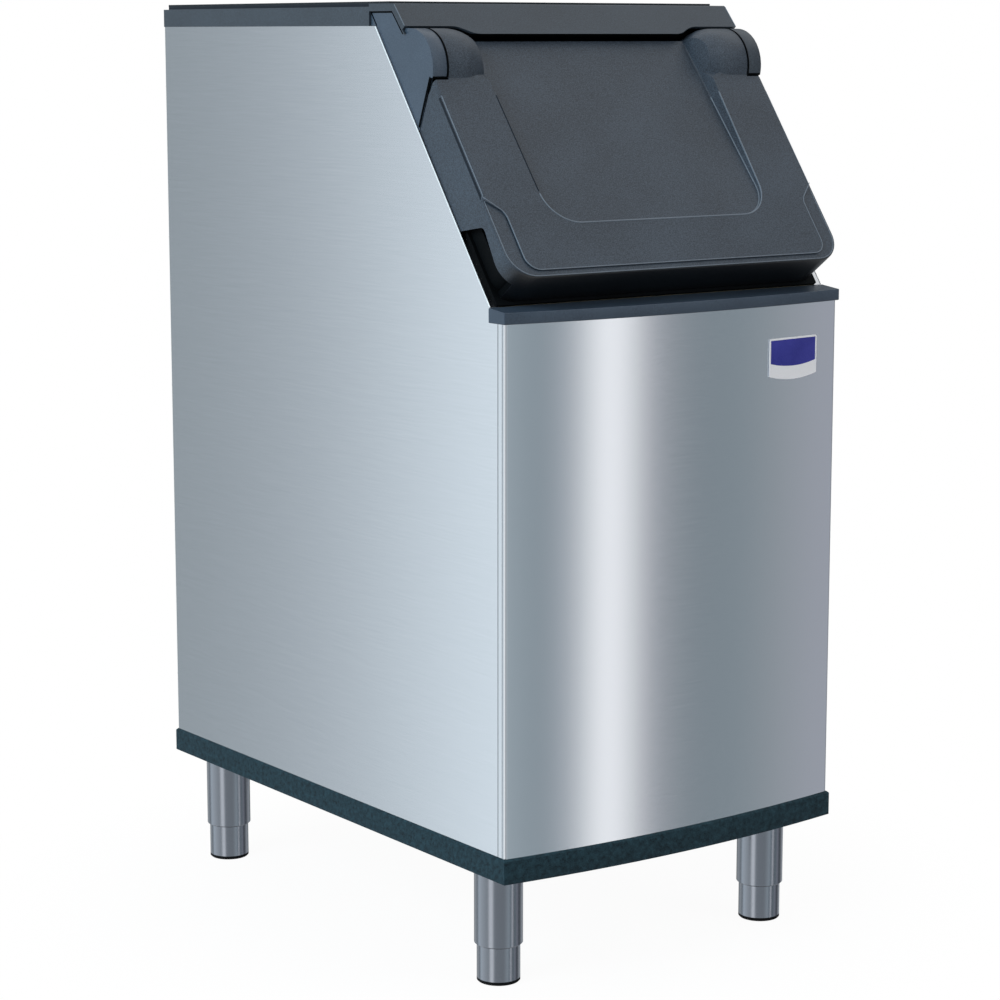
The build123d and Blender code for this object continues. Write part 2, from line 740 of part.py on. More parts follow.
# Hinge cover: side plate with the fixed knuckle, its ribs and the boss that holds the pin
def hinge_cover(name, side):
    depth = side * (cover_half - cover_wall - knuckle_inner)
    reach = 2 * barrel_radius
    with BuildPart() as cover:
        with BuildSketch(hinge_plane(side * cover_half)):
            cover_outline()
        extrude(amount=-side * cover_wall)
        with BuildSketch(hinge_plane(side * knuckle_inner)):
            Circle(barrel_radius)
            Circle(barrel_radius - knuckle_wall, mode=Mode.SUBTRACT)
            Rectangle(reach - knuckle_wall, knuckle_wall)
            Rectangle(knuckle_wall, reach - knuckle_wall)
            Circle(pin_diameter / 2 + boss_wall)
            with Locations((0, -knuckle_foot / 2 - knuckle_wall)):
                Rectangle(reach - 2 * knuckle_wall, knuckle_wall)
            with Locations((0, -knuckle_foot - barrel_radius)):
                Rectangle(reach, reach, mode=Mode.SUBTRACT)
            with BuildLine():
                Polyline(
                    about_hinge(-reach, seat - slope_drop),
                    about_hinge(reach, seat - slope_drop),
                    about_hinge(reach, -reach),
                    about_hinge(-reach, -reach),
                    about_hinge(-reach, seat - slope_drop),
                )
            make_face(mode=Mode.SUBTRACT)
        extrude(amount=depth)
        with BuildSketch(hinge_plane(side * knuckle_inner)):
            Circle(pin_diameter / 2)
        extrude(amount=depth, mode=Mode.SUBTRACT)
    keep(name, cover)


hinge_cover("left_hinge_cover", -1)
hinge_cover("right_hinge_cover", 1)

# Hinge pins: one steel pin at each side
with BuildPart() as hinge_pins:
    for side in sides:
        with BuildSketch(hinge_plane(side * pin_inner)):
            Circle(pin_diameter / 2)
        extrude(amount=side * (cover_half - cover_wall - pin_inner))
keep("hinge_pins", hinge_pins)

# Header: cover over the hinge line, with turned-down ends and a lower edge raised over the hinges
with BuildPart() as header:
    skirt_foot = header_point(-header_skirt, 0)
    with BuildSketch(hinge_plane(-header_half)):
        with BuildLine():
            Polyline(
                (header_back, head_z),
                (header_front, head_z),
                skirt_foot,
                (header_back, skirt_foot[1]),
                (header_back, head_z),
            )
        make_face()
    extrude(amount=2 * header_half)
    front_edge_top = header.edges().filter_by(Axis.X).group_by(Axis.Z)[-1].sort_by(Axis.Y)[0]
    fillet(front_edge_top, header_wall)
    with BuildSketch(hinge_plane(-cover_half - seat)):
        ceiling = head_z - header_wall
        with BuildLine():
            Polyline(
                (header_back + overrun, ceiling),
                header_point(header_up(header_wall, ceiling), header_wall),
                header_point(-2 * header_skirt, header_wall),
                (header_back + overrun, header_point(-2 * header_skirt, header_wall)[1]),
                (header_back + overrun, ceiling),
            )
        make_face()
    extrude(amount=2 * (cover_half + seat), mode=Mode.SUBTRACT)
    with BuildSketch(Plane.XY.offset(hinge_height)):
        with Locations((0, (opening_front + opening_back) / 2)):
            RectangleRounded(2 * opening_half, opening_back - opening_front, liner_radius - liner_wall)
    extrude(amount=2 * head_z, mode=Mode.SUBTRACT)
    for side in sides:
        with BuildSketch(hinge_plane(side * (cover_half - overrun))):
            lip_z = head_z - header_lip
            with BuildLine():
                Polyline(
                    (header_back + overrun, lip_z),
                    header_point(header_up(header_lip, lip_z), header_lip),
                    header_point(-2 * header_skirt, header_lip),
                    (header_back + overrun, header_point(-2 * header_skirt, header_lip)[1]),
                    (header_back + overrun, lip_z),
                )
            make_face()
        extrude(amount=side * (header_half - cover_half + 2 * overrun), mode=Mode.SUBTRACT)
    # The lower edge is cut on a plane that lies in the sloping face
    edge_plane = Plane(
        origin=(0, hinge_y + header_low_y, hinge_height + header_low_z),
        x_dir=(1, 0, 0),
        z_dir=(0, face_z, -face_y),
    )
    for side in sides:
        with BuildSketch(edge_plane.offset(-2 * header_wall)):
            with BuildLine():
                Spline(
                    (side * skirt_half, -header_skirt),
                    (side * skirt_end, 0),
                    tangents=((side, 0), (side, 0)),
                )
                Polyline(
                    (side * skirt_end, 0),
                    (side * (header_half + overrun), 0),
                    (side * (header_half + overrun), -2 * header_skirt),
                    (side * skirt_half, -2 * header_skirt),
                    (side * skirt_half, -header_skirt),
                )
            make_face()
        extrude(amount=4 * header_wall, mode=Mode.SUBTRACT)
keep("header", header)

# Ice deflector: plate across the upper part of the opening, with flanges for thumb screws
deflector_half = liner_half - liner_wall - seat
with BuildPart() as ice_deflector:
    with BuildSketch(face_plane(deflector_out)):
        slope_window(deflector_half, deflector_low, deflector_high, deflector_wall)
    extrude(amount=deflector_wall)
    with BuildSketch(face_plane(deflector_out)):
        with Locations((0, deflector_low + deflector_wall / 2)):
            Rectangle(2 * (deflector_half - deflector_wall), deflector_wall)
    extrude(amount=-deflector_flange / 2)
    with BuildSketch(face_plane(deflector_out)):
        flange_x = deflector_half - deflector_wall / 2
        flange_middle = (deflector_low + deflector_high) / 2
        with Locations((-flange_x, flange_middle), (flange_x, flange_middle)):
            Rectangle(deflector_wall, deflector_high - deflector_low)
    extrude(amount=-deflector_flange)
keep("ice_deflector", ice_deflector)

# Thumb screws that hold the deflector to the tub's sides
with BuildPart() as thumb_screws:
    screw_y, screw_z = slope_point(flange_middle, deflector_out - deflector_flange / 2)
    for side in sides:
        head_x = deflector_half - deflector_wall
        screw_plane = Plane(origin=(side * head_x, screw_y, screw_z), x_dir=(0, 1, 0), z_dir=(-side, 0, 0))
        with BuildSketch(screw_plane):
            RegularPolygon(thumb_screw_head / 2, thumb_screw_lobes)
        extrude(amount=thumb_screw_head_height)
keep("deflector_screws", thumb_screws)

# Drain fitting: threaded spout through the back, with its flange inside the well
with BuildPart() as drain_fitting:
    well_wall_y = liner_back - liner_wall
    with BuildSketch(Plane.XZ.offset(-well_wall_y)):
        with Locations((0, drain_z)):
            Circle(drain_outside / 2)
    extrude(amount=well_wall_y - back_y)
    with BuildSketch(Plane.XZ.offset(-well_wall_y)):
        with Locations((0, drain_z)):
            Circle(drain_rise - seat)
    extrude(amount=drain_flange_wall)
    with BuildSketch(Plane.XZ.offset(-well_wall_y + drain_flange_wall + overrun)):
        with Locations((0, drain_z)):
            Circle(drain_bore / 2)
    extrude(amount=well_wall_y - back_y - drain_flange_wall - 2 * overrun, mode=Mode.SUBTRACT)
keep("drain_fitting", drain_fitting)

# Drain strainer: slotted plate that drops into the top of the well
with BuildPart() as drain_strainer:
    strainer_y = liner_back - liner_wall - well_length / 2
    with BuildSketch(Plane.XY.offset(floor_back - strainer_wall)):
        with Locations((0, strainer_y)):
            Rectangle(well_width - 2 * seat, well_length - 2 * seat)
            row_pitch = strainer_slot_length + strainer_pitch
            with GridLocations(strainer_pitch, row_pitch, strainer_slot_count, 2):
                Rectangle(strainer_slot, strainer_slot_length, mode=Mode.SUBTRACT)
    extrude(amount=strainer_wall)
keep("drain_strainer", drain_strainer)

# Nameplate: plain curved plate with a bowed lower edge, on the bowed front panel
with BuildPart() as nameplate:
    plate_low = plate_centre_z - plate_height / 2
    plate_left = plate_centre_x - plate_width / 2
    with BuildSketch(Plane.XY.offset(plate_low - plate_bow)):
        bowed_outline(panel_half + plate_wall, front_edge - plate_wall, front_edge)
        bowed_outline(panel_half, front_edge, front_edge + overrun, mode=Mode.SUBTRACT)
    extrude(amount=plate_height + plate_bow)
    with BuildSketch(Plane.XZ) as plate_outline:
        with BuildLine():
            Polyline(
                (plate_left, plate_low),
                (plate_left, plate_low + plate_height),
                (plate_left + plate_width, plate_low + plate_height),
                (plate_left + plate_width, plate_low),
            )
            ThreePointArc(
                (plate_left, plate_low),
                (plate_centre_x, plate_low - plate_bow),
                (plate_left + plate_width, plate_low),
            )
        make_face()
        fillet(plate_outline.vertices(), plate_radius)
    extrude(amount=overall_depth, mode=Mode.INTERSECT)
keep("nameplate", nameplate)


# Leg tube: plain round tube, with a cap that seats on the channel and a plain bore for the sleeve
def leg(name, x, y):
    with BuildPart() as tube:
        with BuildSketch(Plane(origin=(x, y, 0), x_dir=(1, 0, 0), z_dir=(0, -1, 0))):
            radius = leg_diameter / 2
            bore = sleeve_diameter / 2 + sleeve_clearance
            stud_hole = stud_diameter / 2 + stud_clearance
            with BuildLine():
                Polyline(
                    (bore, leg_skirt_bottom),
                    (radius - pad_edge / 2, leg_skirt_bottom),
                    (radius, leg_skirt_bottom + pad_edge / 2),
                    (radius, leg_height),
                    (stud_hole, leg_height),
                    (stud_hole, leg_height - leg_cap),
                    (bore, leg_height - leg_cap),
                    (bore, leg_skirt_bottom),
                )
            make_face()
        revolve(axis=Axis((x, y, 0), (0, 0, 1)))
    keep(name, tube)


# Foot sleeve: tube that slides out of the leg, with a threaded plate that rides on the stud
def foot(name, x, y):
    with BuildPart() as sleeve:
        with BuildSketch(Plane(origin=(x, y, 0), x_dir=(1, 0, 0), z_dir=(0, -1, 0))):
            radius = sleeve_diameter / 2
            bore = stud_diameter / 2 + stud_clearance
            with BuildLine():
                Polyline(
                    (0, pad_height),
                    (radius, pad_height),
                    (radius, sleeve_top),
                    (bore, sleeve_top),
                    (bore, sleeve_top - sleeve_plate),
                    (radius - sleeve_wall, sleeve_top - sleeve_plate),
                    (radius - sleeve_wall, pad_height + sleeve_wall),
                    (0, pad_height + sleeve_wall),
                    (0, pad_height),
                )
            make_face()
        revolve(axis=Axis((x, y, 0), (0, 0, 1)))
    keep(name, sleeve)


# Rubber pad under a foot, with a bevelled lower edge
def foot_pad(name, x, y):
    with BuildPart() as pad:
        with BuildSketch(Plane.XY):
            with Locations((x, y)):
                Circle(sleeve_diameter / 2)
        extrude(amount=pad_height)
        chamfer(pad.edges().group_by(Axis.Z)[0], pad_edge)
    keep(name, pad)


for place, leg_y, leg_x in leg_places:
    leg(f"{place}_leg", leg_x, leg_y)
    foot(f"{place}_foot", leg_x, leg_y)
    foot_pad(f"{place}_pad", leg_x, leg_y)

# Leg studs: threaded rods that hang from the channels through the legs
with BuildPart() as leg_studs:
    stud_top = leg_height + channel_wall + nut_height + stud_clearance
    with BuildSketch(Plane.XY.offset(stud_bottom)):
        with Locations(*[(leg_x, leg_y) for place, leg_y, leg_x in leg_places]):
            Circle(stud_diameter / 2)
    extrude(amount=stud_top - stud_bottom)
keep("leg_studs", leg_studs)

# Leg nuts: hexagon nuts on the channels
with BuildPart() as leg_nuts:
    with BuildSketch(Plane.XY.offset(leg_height + channel_wall)):
        with Locations(*[(leg_x, leg_y) for place, leg_y, leg_x in leg_places]):
            RegularPolygon(nut_across / 2, hexagon_side_count, major_radius=False)
            Circle(stud_diameter / 2, mode=Mode.SUBTRACT)
    extrude(amount=nut_height)
keep("leg_nuts", leg_nuts)


# Cylinder about the hinge axis between two places across the bin, cut out of the open part
def cut_about_hinge(radius, start, end):
    with BuildSketch(hinge_plane(start)) as disc:
        Circle(radius)
    extrude(disc.sketch, amount=end - start, mode=Mode.SUBTRACT)


# Everything behind the slanted joint with the hinge cover, drawn in by the given amount
def cut_behind_cover(start, end, draw_in):
    foot_along = cover_tip - cover_gap - draw_in
    neck_along = -sqrt(barrel_radius ** 2 - door_rise ** 2) - draw_in
    over = overrun * (neck_along - foot_along) / (door_rise + slope_drop)
    with BuildSketch(section_plane(start)) as wedge:
        with BuildLine():
            Polyline(
                (foot_along - over, -slope_drop - overrun),
                (neck_along + over, door_rise + overrun),
                (barrel_radius + overrun, door_rise + overrun),
                (barrel_radius + overrun, -slope_drop - overrun),
                (foot_along - over, -slope_drop - overrun),
            )
        make_face()
    extrude(wedge.sketch, amount=end - start, mode=Mode.SUBTRACT)


# Plan of the door's tray along the slope, drawn in by the given amount
def door_outline(draw_in, top):
    half = door_half - draw_in
    low = door_low + draw_in
    radius = door_corner_radius - draw_in
    with BuildLine() as outline:
        Polyline((-half, low + radius), (-half, top), (half, top), (half, low + radius))
        TangentArc((half, low + radius), (half - radius, low), tangent=(0, -1))
        Line((half - radius, low), (radius - half, low))
        TangentArc((radius - half, low), (-half, low + radius), tangent=(-1, 0))
    make_face(outline.edges())


# Tilted floor of the recess in the door's face, lowered by the given depth
def recess_plane(depth):
    y, z = slope_point(recess_low, door_rise - recess_sink)
    lean = tilt - radians(recess_tilt)
    floor_out = (0, -sin(lean), cos(lean))
    origin = (0, y - depth * floor_out[1], z - depth * floor_out[2])
    return Plane(origin=origin, x_dir=(1, 0, 0), z_dir=floor_out)


# Cutter for the recess, with drafted walls, open at the door's top
def recess_cutter(grow, depth):
    floor = recess_plane(depth)
    with BuildPart() as cutter:
        with BuildSketch(floor) as outline:
            top = -recess_low + barrel_radius
            with Locations((0, (top - grow) / 2)):
                Rectangle(2 * (recess_half + grow), top + grow)
            fillet(outline.vertices().group_by(Axis.Y)[0], recess_radius)
        extrude(amount=barrel_radius + depth)
        square = Axis((0, 0, 0), floor.z_dir)
        walls = cutter.faces() - cutter.faces().filter_by(square)
        draft(walls, floor, -recess_draft)
    return cutter.part


# Cutter that opens out the recess at one top corner, leaving a cone of the face, sunk by the given depth
def flare_cutter(side, depth):
    x = recess_half + flare_width
    drop = door_rise + depth / sin(radians(flare_draft))
    y, z = slope_point(flare_low, 0)
    base = Plane(origin=(side * x, y, z), x_dir=(-side, 0, 0), z_dir=slope_out)
    upward = Align.MIN if side < 0 else Align.MAX
    with BuildPart() as cutter:
        with BuildSketch(base):
            Rectangle(flare_width + overrun, -flare_low, align=(Align.MIN, upward))
        extrude(amount=barrel_radius)
        with Locations(base):
            Cone(flare_width + drop * tan(radians(flare_draft)), flare_width, drop,
                 align=(Align.CENTER, Align.CENTER, Align.MIN), mode=Mode.SUBTRACT)
    return cutter.part


# Barrel of the door at one side: full round outside, domed down to the round top edge inside
def barrel(side):
    with BuildPart() as round_end:
        with BuildSketch(Plane(origin=(0, hinge_y, hinge_height), x_dir=(1, 0, 0), z_dir=(0, -1, 0))):
            with BuildLine():
                Polyline(
                    (side * shoulder_end, bar_radius),
                    (side * shoulder_end, 0),
                    (side * barrel_end, 0),
                    (side * barrel_end, barrel_radius),
                    (side * shoulder_start, barrel_radius),
                )
                TangentArc(
                    (side * shoulder_start, barrel_radius),
                    (side * shoulder_end, bar_radius),
                    tangent=(-side, 0),
                )
            make_face()
        revolve(axis=Axis((0, hinge_y, hinge_height), (1, 0, 0)))
    return round_end.part


# Outer border of the door's face, stepped down round the raised middle, above the given level
def border_cutter(level):
    with BuildPart() as cutter:
        edge = door_half + overrun
        with BuildSketch(face_plane(level)):
            with Locations((0, (door_low + border_top) / 2)):
                Rectangle(2 * edge, border_top - door_low + 2 * overrun)
            with BuildLine():
                FilletPolyline(
                    (-edge, border_top),
                    (-border_half, border_turn),
                    (-border_half, border_low),
                    (border_half, border_low),
                    (border_half, border_turn),
                    (edge, border_top),
                    radius=border_radius,
                )
                Polyline((edge, border_top), (edge, 0), (-edge, 0), (-edge, border_top))
            make_face(mode=Mode.SUBTRACT)
        extrude(amount=door_rise)
    return cutter.part


# Finger notch at one side of the door, with its inner wall drawn in by the given amount
def notch_cutter(side, grow):
    lean = (notch_out_top + slope_drop) / (notch_top - notch_shoulder)
    fall = (notch_out_top - notch_out_low) / (notch_shoulder - door_low)
    start = side * (notch_floor_half - grow)
    with BuildPart() as cutter:
        with BuildSketch(section_plane(start)) as outline:
            with BuildLine():
                Polyline(
                    (notch_top + overrun + grow, -slope_drop - overrun * lean),
                    (notch_shoulder + grow, notch_out_top + grow),
                    (door_low - overrun, notch_out_low - overrun * fall + grow),
                    (door_low - overrun, -slope_drop - overrun * lean),
                    (notch_top + overrun + grow, -slope_drop - overrun * lean),
                )
            make_face()
            fillet(outline.vertices().sort_by(Axis.Y)[-1], notch_radius)
        extrude(amount=side * (door_half + overrun - notch_floor_half + grow))
    return cutter.part


# Room for the frame inside the door: its flange, its rim and the trough
with BuildPart() as frame_room:
    deep = slope_drop + 2 * overrun
    with BuildSketch(face_plane(-deep)):
        slope_window(frame_flange_half + door_gap, frame_foot - overrun, 0, frame_wall)
    extrude(amount=deep - slope_drop + frame_wall + door_gap)
    with BuildSketch(face_plane(-deep)):
        slope_window(frame_rim_half + door_clearance, frame_rim_low - door_clearance, 0, frame_radius)
    extrude(amount=deep - pan_wall)

# Cutters and barrels for the door, each made once
hollow_recess = recess_cutter(door_wall, door_wall)
hollow_border = border_cutter(door_rise - border_step - door_wall)
hollow_notches = [notch_cutter(side, door_wall) for side in sides]
face_recess = recess_cutter(0, 0)
face_recess = face_recess.fillet(recess_floor_radius, face_recess.faces().sort_by(out_axis)[0].edges())
hollow_flares = [flare_cutter(side, door_wall) for side in sides]
face_flares = [flare_cutter(side, 0) for side in sides]
face_border = border_cutter(door_rise - border_step)
flank_notches = [notch_cutter(side, 0) for side in sides]
pan_notches = [notch_cutter(side, door_wall + seat) for side in sides]
barrels = [barrel(side) for side in sides]

# Round top of the door: a bar between two barrels, opened at the front by the recess
with BuildPart() as door_top:
    with BuildSketch(hinge_plane(-shoulder_start)):
        Circle(bar_radius)
    extrude(amount=2 * shoulder_start)
    add(barrels)
    add(face_recess, mode=Mode.SUBTRACT)

# Hollow inside the door, which the insulation fills
with BuildPart() as door_cavity:
    with BuildSketch(face_plane(-slope_drop - overrun)):
        door_outline(door_wall, -bar_radius)
    extrude(amount=slope_drop + overrun + door_rise - door_wall)
    with BuildSketch(hinge_plane(door_wall - shoulder_end)):
        Circle(bar_radius - door_wall)
    extrude(amount=2 * (shoulder_end - door_wall))
    with BuildSketch(face_plane(0)):
        with Locations((0, -bar_radius)):
            Rectangle(2 * (shoulder_end - door_wall), 4 * door_wall)
    extrude(amount=2 * door_wall)
    add(hollow_flares, mode=Mode.SUBTRACT)
    add(hollow_recess, mode=Mode.SUBTRACT)
    add(hollow_border, mode=Mode.SUBTRACT)
    add(hollow_notches, mode=Mode.SUBTRACT)
    for side in sides:
        cut_about_hinge(barrel_radius + door_wall, side * (shoulder_end - door_wall), side * half_width)
        cut_behind_cover(side * (barrel_end - door_wall), side * half_width, door_wall)

# Door shell: deep moulded tray with a recessed face, barrels at the hinge and finger notches
bush_radius = pin_diameter / 2 + pin_clearance + bush_wall
with BuildPart() as door_shell:
    tray_back = door_gap - slope_drop
    with BuildSketch(face_plane(tray_back)):
        door_outline(0, -bar_radius / 2)
    extrude(amount=door_rise - tray_back)
    face_edges = door_shell.faces().sort_by(out_axis)[-1].edges()
    top_edge = face_edges.sort_by(up_axis)[-1]
    fillet(face_edges.filter_by(lambda edge: edge is not top_edge), door_edge_radius)
    add(face_recess, mode=Mode.SUBTRACT)
    add(frame_room.part, mode=Mode.SUBTRACT)
    add(face_flares, mode=Mode.SUBTRACT)
    add(door_top.part)
    add(face_border, mode=Mode.SUBTRACT)
    add(door_cavity.part, mode=Mode.SUBTRACT)
    add(flank_notches, mode=Mode.SUBTRACT)
    for side in sides:
        cut_about_hinge(trough_radius, side * barrel_end, side * half_width)
        cut_behind_cover(side * barrel_end, side * half_width, 0)
        cut_about_hinge(bush_radius, side * pin_inner, side * half_width)
        cut_about_hinge(bush_radius + bush_flange_rim, side * (barrel_end - bush_flange), side * half_width)
keep("door_shell", door_shell)

# Door pan: inner sheet of the door with a plug that reaches into the opening
with BuildPart() as door_pan:
    with BuildSketch(face_plane(-pan_wall)):
        door_outline(door_wall + seat, pan_top)
        with Locations((0, (pan_top + pan_neck_top) / 2 - pan_wall)):
            Rectangle(2 * (shoulder_end - door_wall - seat), pan_neck_top - pan_top + 2 * pan_wall)
    extrude(amount=pan_wall)
    with BuildSketch(face_plane(-pan_wall - plug_depth)):
        slope_window(plug_half, plug_low, plug_high, plug_radius)
    extrude(amount=plug_depth)
    with BuildSketch(face_plane(-plug_depth)):
        slope_window(plug_half - pan_wall, plug_low + pan_wall, plug_high - pan_wall, plug_radius - pan_wall)
    extrude(amount=plug_depth + overrun, mode=Mode.SUBTRACT)
    add(pan_notches, mode=Mode.SUBTRACT)
    for side in sides:
        cut_behind_cover(side * (barrel_end - door_wall - seat), side * half_width, door_wall + seat)
keep("door_pan", door_pan)

# Door insulation: foam between the shell and the pan
with BuildPart() as door_foam:
    add(door_cavity.part)
    with BuildSketch(face_plane(0)):
        Rectangle(overall_width, overall_height)
    extrude(amount=-overall_width, mode=Mode.SUBTRACT)
keep("door_insulation", door_foam)

# Door seal: flat ring on the pan that lands on the frame's rim
with BuildPart() as door_seal:
    with BuildSketch(face_plane(-pan_wall - seal_wall)):
        slope_window(seal_half, seal_low, seal_high, frame_radius)
        slope_window(seal_half - seal_width, seal_low + seal_width,
                     seal_high - seal_top_width, access_radius, mode=Mode.SUBTRACT)
    extrude(amount=seal_wall)
keep("door_seal", door_seal)

# Hinge bushes: plain plastic sleeves in the door's barrels, with a thrust flange
with BuildPart() as hinge_bushes:
    for side in sides:
        with BuildSketch(hinge_plane(side * pin_inner)):
            Circle(bush_radius)
        extrude(amount=side * (barrel_end - pin_inner))
        with BuildSketch(hinge_plane(side * (barrel_end - bush_flange))):
            Circle(bush_radius + bush_flange_rim)
        extrude(amount=side * (bush_flange + seat))
        with BuildSketch(hinge_plane(side * pin_inner)):
            Circle(pin_diameter / 2 + pin_clearance)
        extrude(amount=side * (knuckle_inner - pin_inner), mode=Mode.SUBTRACT)
keep("hinge_bushes", hinge_bushes)
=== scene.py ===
import math

import bpy
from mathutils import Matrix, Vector


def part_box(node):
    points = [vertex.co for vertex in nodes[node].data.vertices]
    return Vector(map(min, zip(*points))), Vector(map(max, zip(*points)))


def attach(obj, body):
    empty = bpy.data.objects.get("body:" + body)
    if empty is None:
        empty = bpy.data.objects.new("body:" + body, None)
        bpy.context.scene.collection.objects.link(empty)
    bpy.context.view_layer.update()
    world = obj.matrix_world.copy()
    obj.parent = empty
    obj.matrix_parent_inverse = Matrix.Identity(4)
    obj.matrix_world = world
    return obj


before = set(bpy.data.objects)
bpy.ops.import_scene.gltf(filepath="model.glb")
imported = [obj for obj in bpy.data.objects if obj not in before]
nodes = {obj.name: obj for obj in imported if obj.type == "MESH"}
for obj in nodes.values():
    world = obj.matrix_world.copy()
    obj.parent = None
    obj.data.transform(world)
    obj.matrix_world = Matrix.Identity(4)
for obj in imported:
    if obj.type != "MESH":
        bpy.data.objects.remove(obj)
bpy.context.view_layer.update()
print("frame loaded,", len(nodes), "nodes")

# the line that the door turns about, and the angle of its slope
hinge = {"yMm": -201.8, "zMm": 1185.7, "slopeDeg": 53.7}
legPlaces = ("front_left", "front_right", "rear_left", "rear_right")


def toSlope(y, z):
    # a place in mm as its distance along the door's slope from the hinge line, and out from the slope
    slope = math.radians(hinge["slopeDeg"])
    along = (y - hinge["yMm"]) * math.cos(slope) + (z - hinge["zMm"]) * math.sin(slope)
    out = (z - hinge["zMm"]) * math.cos(slope) - (y - hinge["yMm"]) * math.sin(slope)
    return along, out


def fromSlope(along, out):
    # the way back, to y and z in mm
    slope = math.radians(hinge["slopeDeg"])
    y = hinge["yMm"] + along * math.cos(slope) - out * math.sin(slope)
    z = hinge["zMm"] + along * math.sin(slope) + out * math.cos(slope)
    return y, z


def srgb(hexText):
    # sRGB hex text to linear colour
    values = [int(hexText[i:i + 2], 16) / 255 for i in (0, 2, 4)]
    linear = [v / 12.92 if v <= 0.04045 else ((v + 0.055) / 1.055) ** 2.4 for v in values]
    return (*linear, 1.0)


def newMaterial(name, **shader):
    # a fresh material and its shader, whose sockets take the plain values given
    material = bpy.data.materials.new(name)
    material.use_nodes = True
    principled = material.node_tree.nodes["Principled BSDF"]
    for socket, value in shader.items():
        principled.inputs[socket.replace("_", " ")].default_value = value
    return material, principled


def addNode(material, kind, values=None, links=None, **settings):
    # one node: values by socket, links as socket -> output it comes from
    node = material.node_tree.nodes.new(kind)
    for key, value in settings.items():
        setattr(node, key, value)
    for socket, value in (values or {}).items():
        node.inputs[socket].default_value = value
    for socket, source in (links or {}).items():
        material.node_tree.links.new(source, node.inputs[socket])
    return node


def join(material, source, target):
    material.node_tree.links.new(source, target)


def rampStops(ramp, stops):
    # colour ramp stops as (position, colour), where a new stop's own place doesn't matter
    elements = ramp.color_ramp.elements
    while len(elements) < len(stops):
        elements.new(0.5)
    for element, (position, colour) in zip(elements, stops):
        element.position = position
        element.color = colour


def brushedStainless(name, grainAxis):
    # stainless sheet, brushed level: hair-fine scratches blur the reflections up and down and keep them crisp
    # across, and they are drawn wider than the real ones so that they show
    look = {"colour": "d6d8db", "dark": "cfd2d5", "darkAt": 0.35, "paleAt": 0.65,
            "grainMm": 0.3, "lengthMm": 70, "octaves": 3.0, "rough": 0.6,
            "roughness": 0.175, "spread": 0.03, "stretch": 0.5, "turn": 0.25,
            "relief": 0.03, "depthM": 0.00005}
    material, steel = newMaterial(name, Metallic=1.0, Anisotropic=look["stretch"],
                                  Anisotropic_Rotation=look["turn"])
    place = addNode(material, "ShaderNodeTexCoord")
    scale = [1000 / look["grainMm"]] * 3
    scale[grainAxis] = 1000 / look["lengthMm"]
    stretch = addNode(material, "ShaderNodeMapping", {"Scale": scale}, {"Vector": place.outputs["Object"]})
    grain = addNode(material, "ShaderNodeTexNoise",
                    {"Scale": 1.0, "Detail": look["octaves"], "Roughness": look["rough"]},
                    {"Vector": stretch.outputs["Vector"]})
    tint = addNode(material, "ShaderNodeValToRGB", links={"Fac": grain.outputs["Fac"]})
    rampStops(tint, [(look["darkAt"], srgb(look["dark"])), (look["paleAt"], srgb(look["colour"]))])
    join(material, tint.outputs["Color"], steel.inputs["Base Color"])
    smoother, rougher = look["roughness"] - look["spread"], look["roughness"] + look["spread"]
    scratch = addNode(material, "ShaderNodeMapRange", {"To Min": smoother, "To Max": rougher},
                      {"Value": grain.outputs["Fac"]})
    join(material, scratch.outputs["Result"], steel.inputs["Roughness"])
    relief = addNode(material, "ShaderNodeBump", {"Strength": look["relief"], "Distance": look["depthM"]},
                     {"Height": grain.outputs["Fac"]})
    join(material, relief.outputs["Normal"], steel.inputs["Normal"])
    return material


def mouldedPlastic(name, colour, light, grainMm, roughness, depthMm=0.05, driftMm=110, driftShare=0.35,
                   gloss=0.5):
    # smooth or moulded surface: the mould's grain breaks the gloss, and the colour drifts slowly across it
    # the real grain is finer than a pixel, so it is drawn at about a millimetre or more
    look = {"ior": 1.5, "grainOctaves": 2.0, "grainRough": 0.55, "driftOctaves": 3.0,
            "darkAt": 0.36, "paleAt": 0.64, "relief": 0.5}
    material, plastic = newMaterial(name, Roughness=roughness, IOR=look["ior"], Specular_IOR_Level=gloss)
    place = addNode(material, "ShaderNodeTexCoord")
    grain = addNode(material, "ShaderNodeTexNoise",
                    {"Scale": 1000 / grainMm, "Detail": look["grainOctaves"],
                     "Roughness": look["grainRough"]},
                    {"Vector": place.outputs["Object"]})
    drift = addNode(material, "ShaderNodeTexNoise", {"Scale": 1000 / driftMm, "Detail": look["driftOctaves"]},
                    {"Vector": place.outputs["Object"]})
    mixed = addNode(material, "ShaderNodeMix", {"Factor": driftShare},
                    {"A": grain.outputs["Fac"], "B": drift.outputs["Fac"]}, data_type="FLOAT")
    tint = addNode(material, "ShaderNodeValToRGB", links={"Fac": mixed.outputs["Result"]})
    rampStops(tint, [(look["darkAt"], srgb(colour)), (look["paleAt"], srgb(light))])
    join(material, tint.outputs["Color"], plastic.inputs["Base Color"])
    relief = addNode(material, "ShaderNodeBump", {"Strength": look["relief"], "Distance": depthMm / 1000},
                     {"Height": grain.outputs["Fac"]})
    join(material, relief.outputs["Normal"], plastic.inputs["Normal"])
    return material


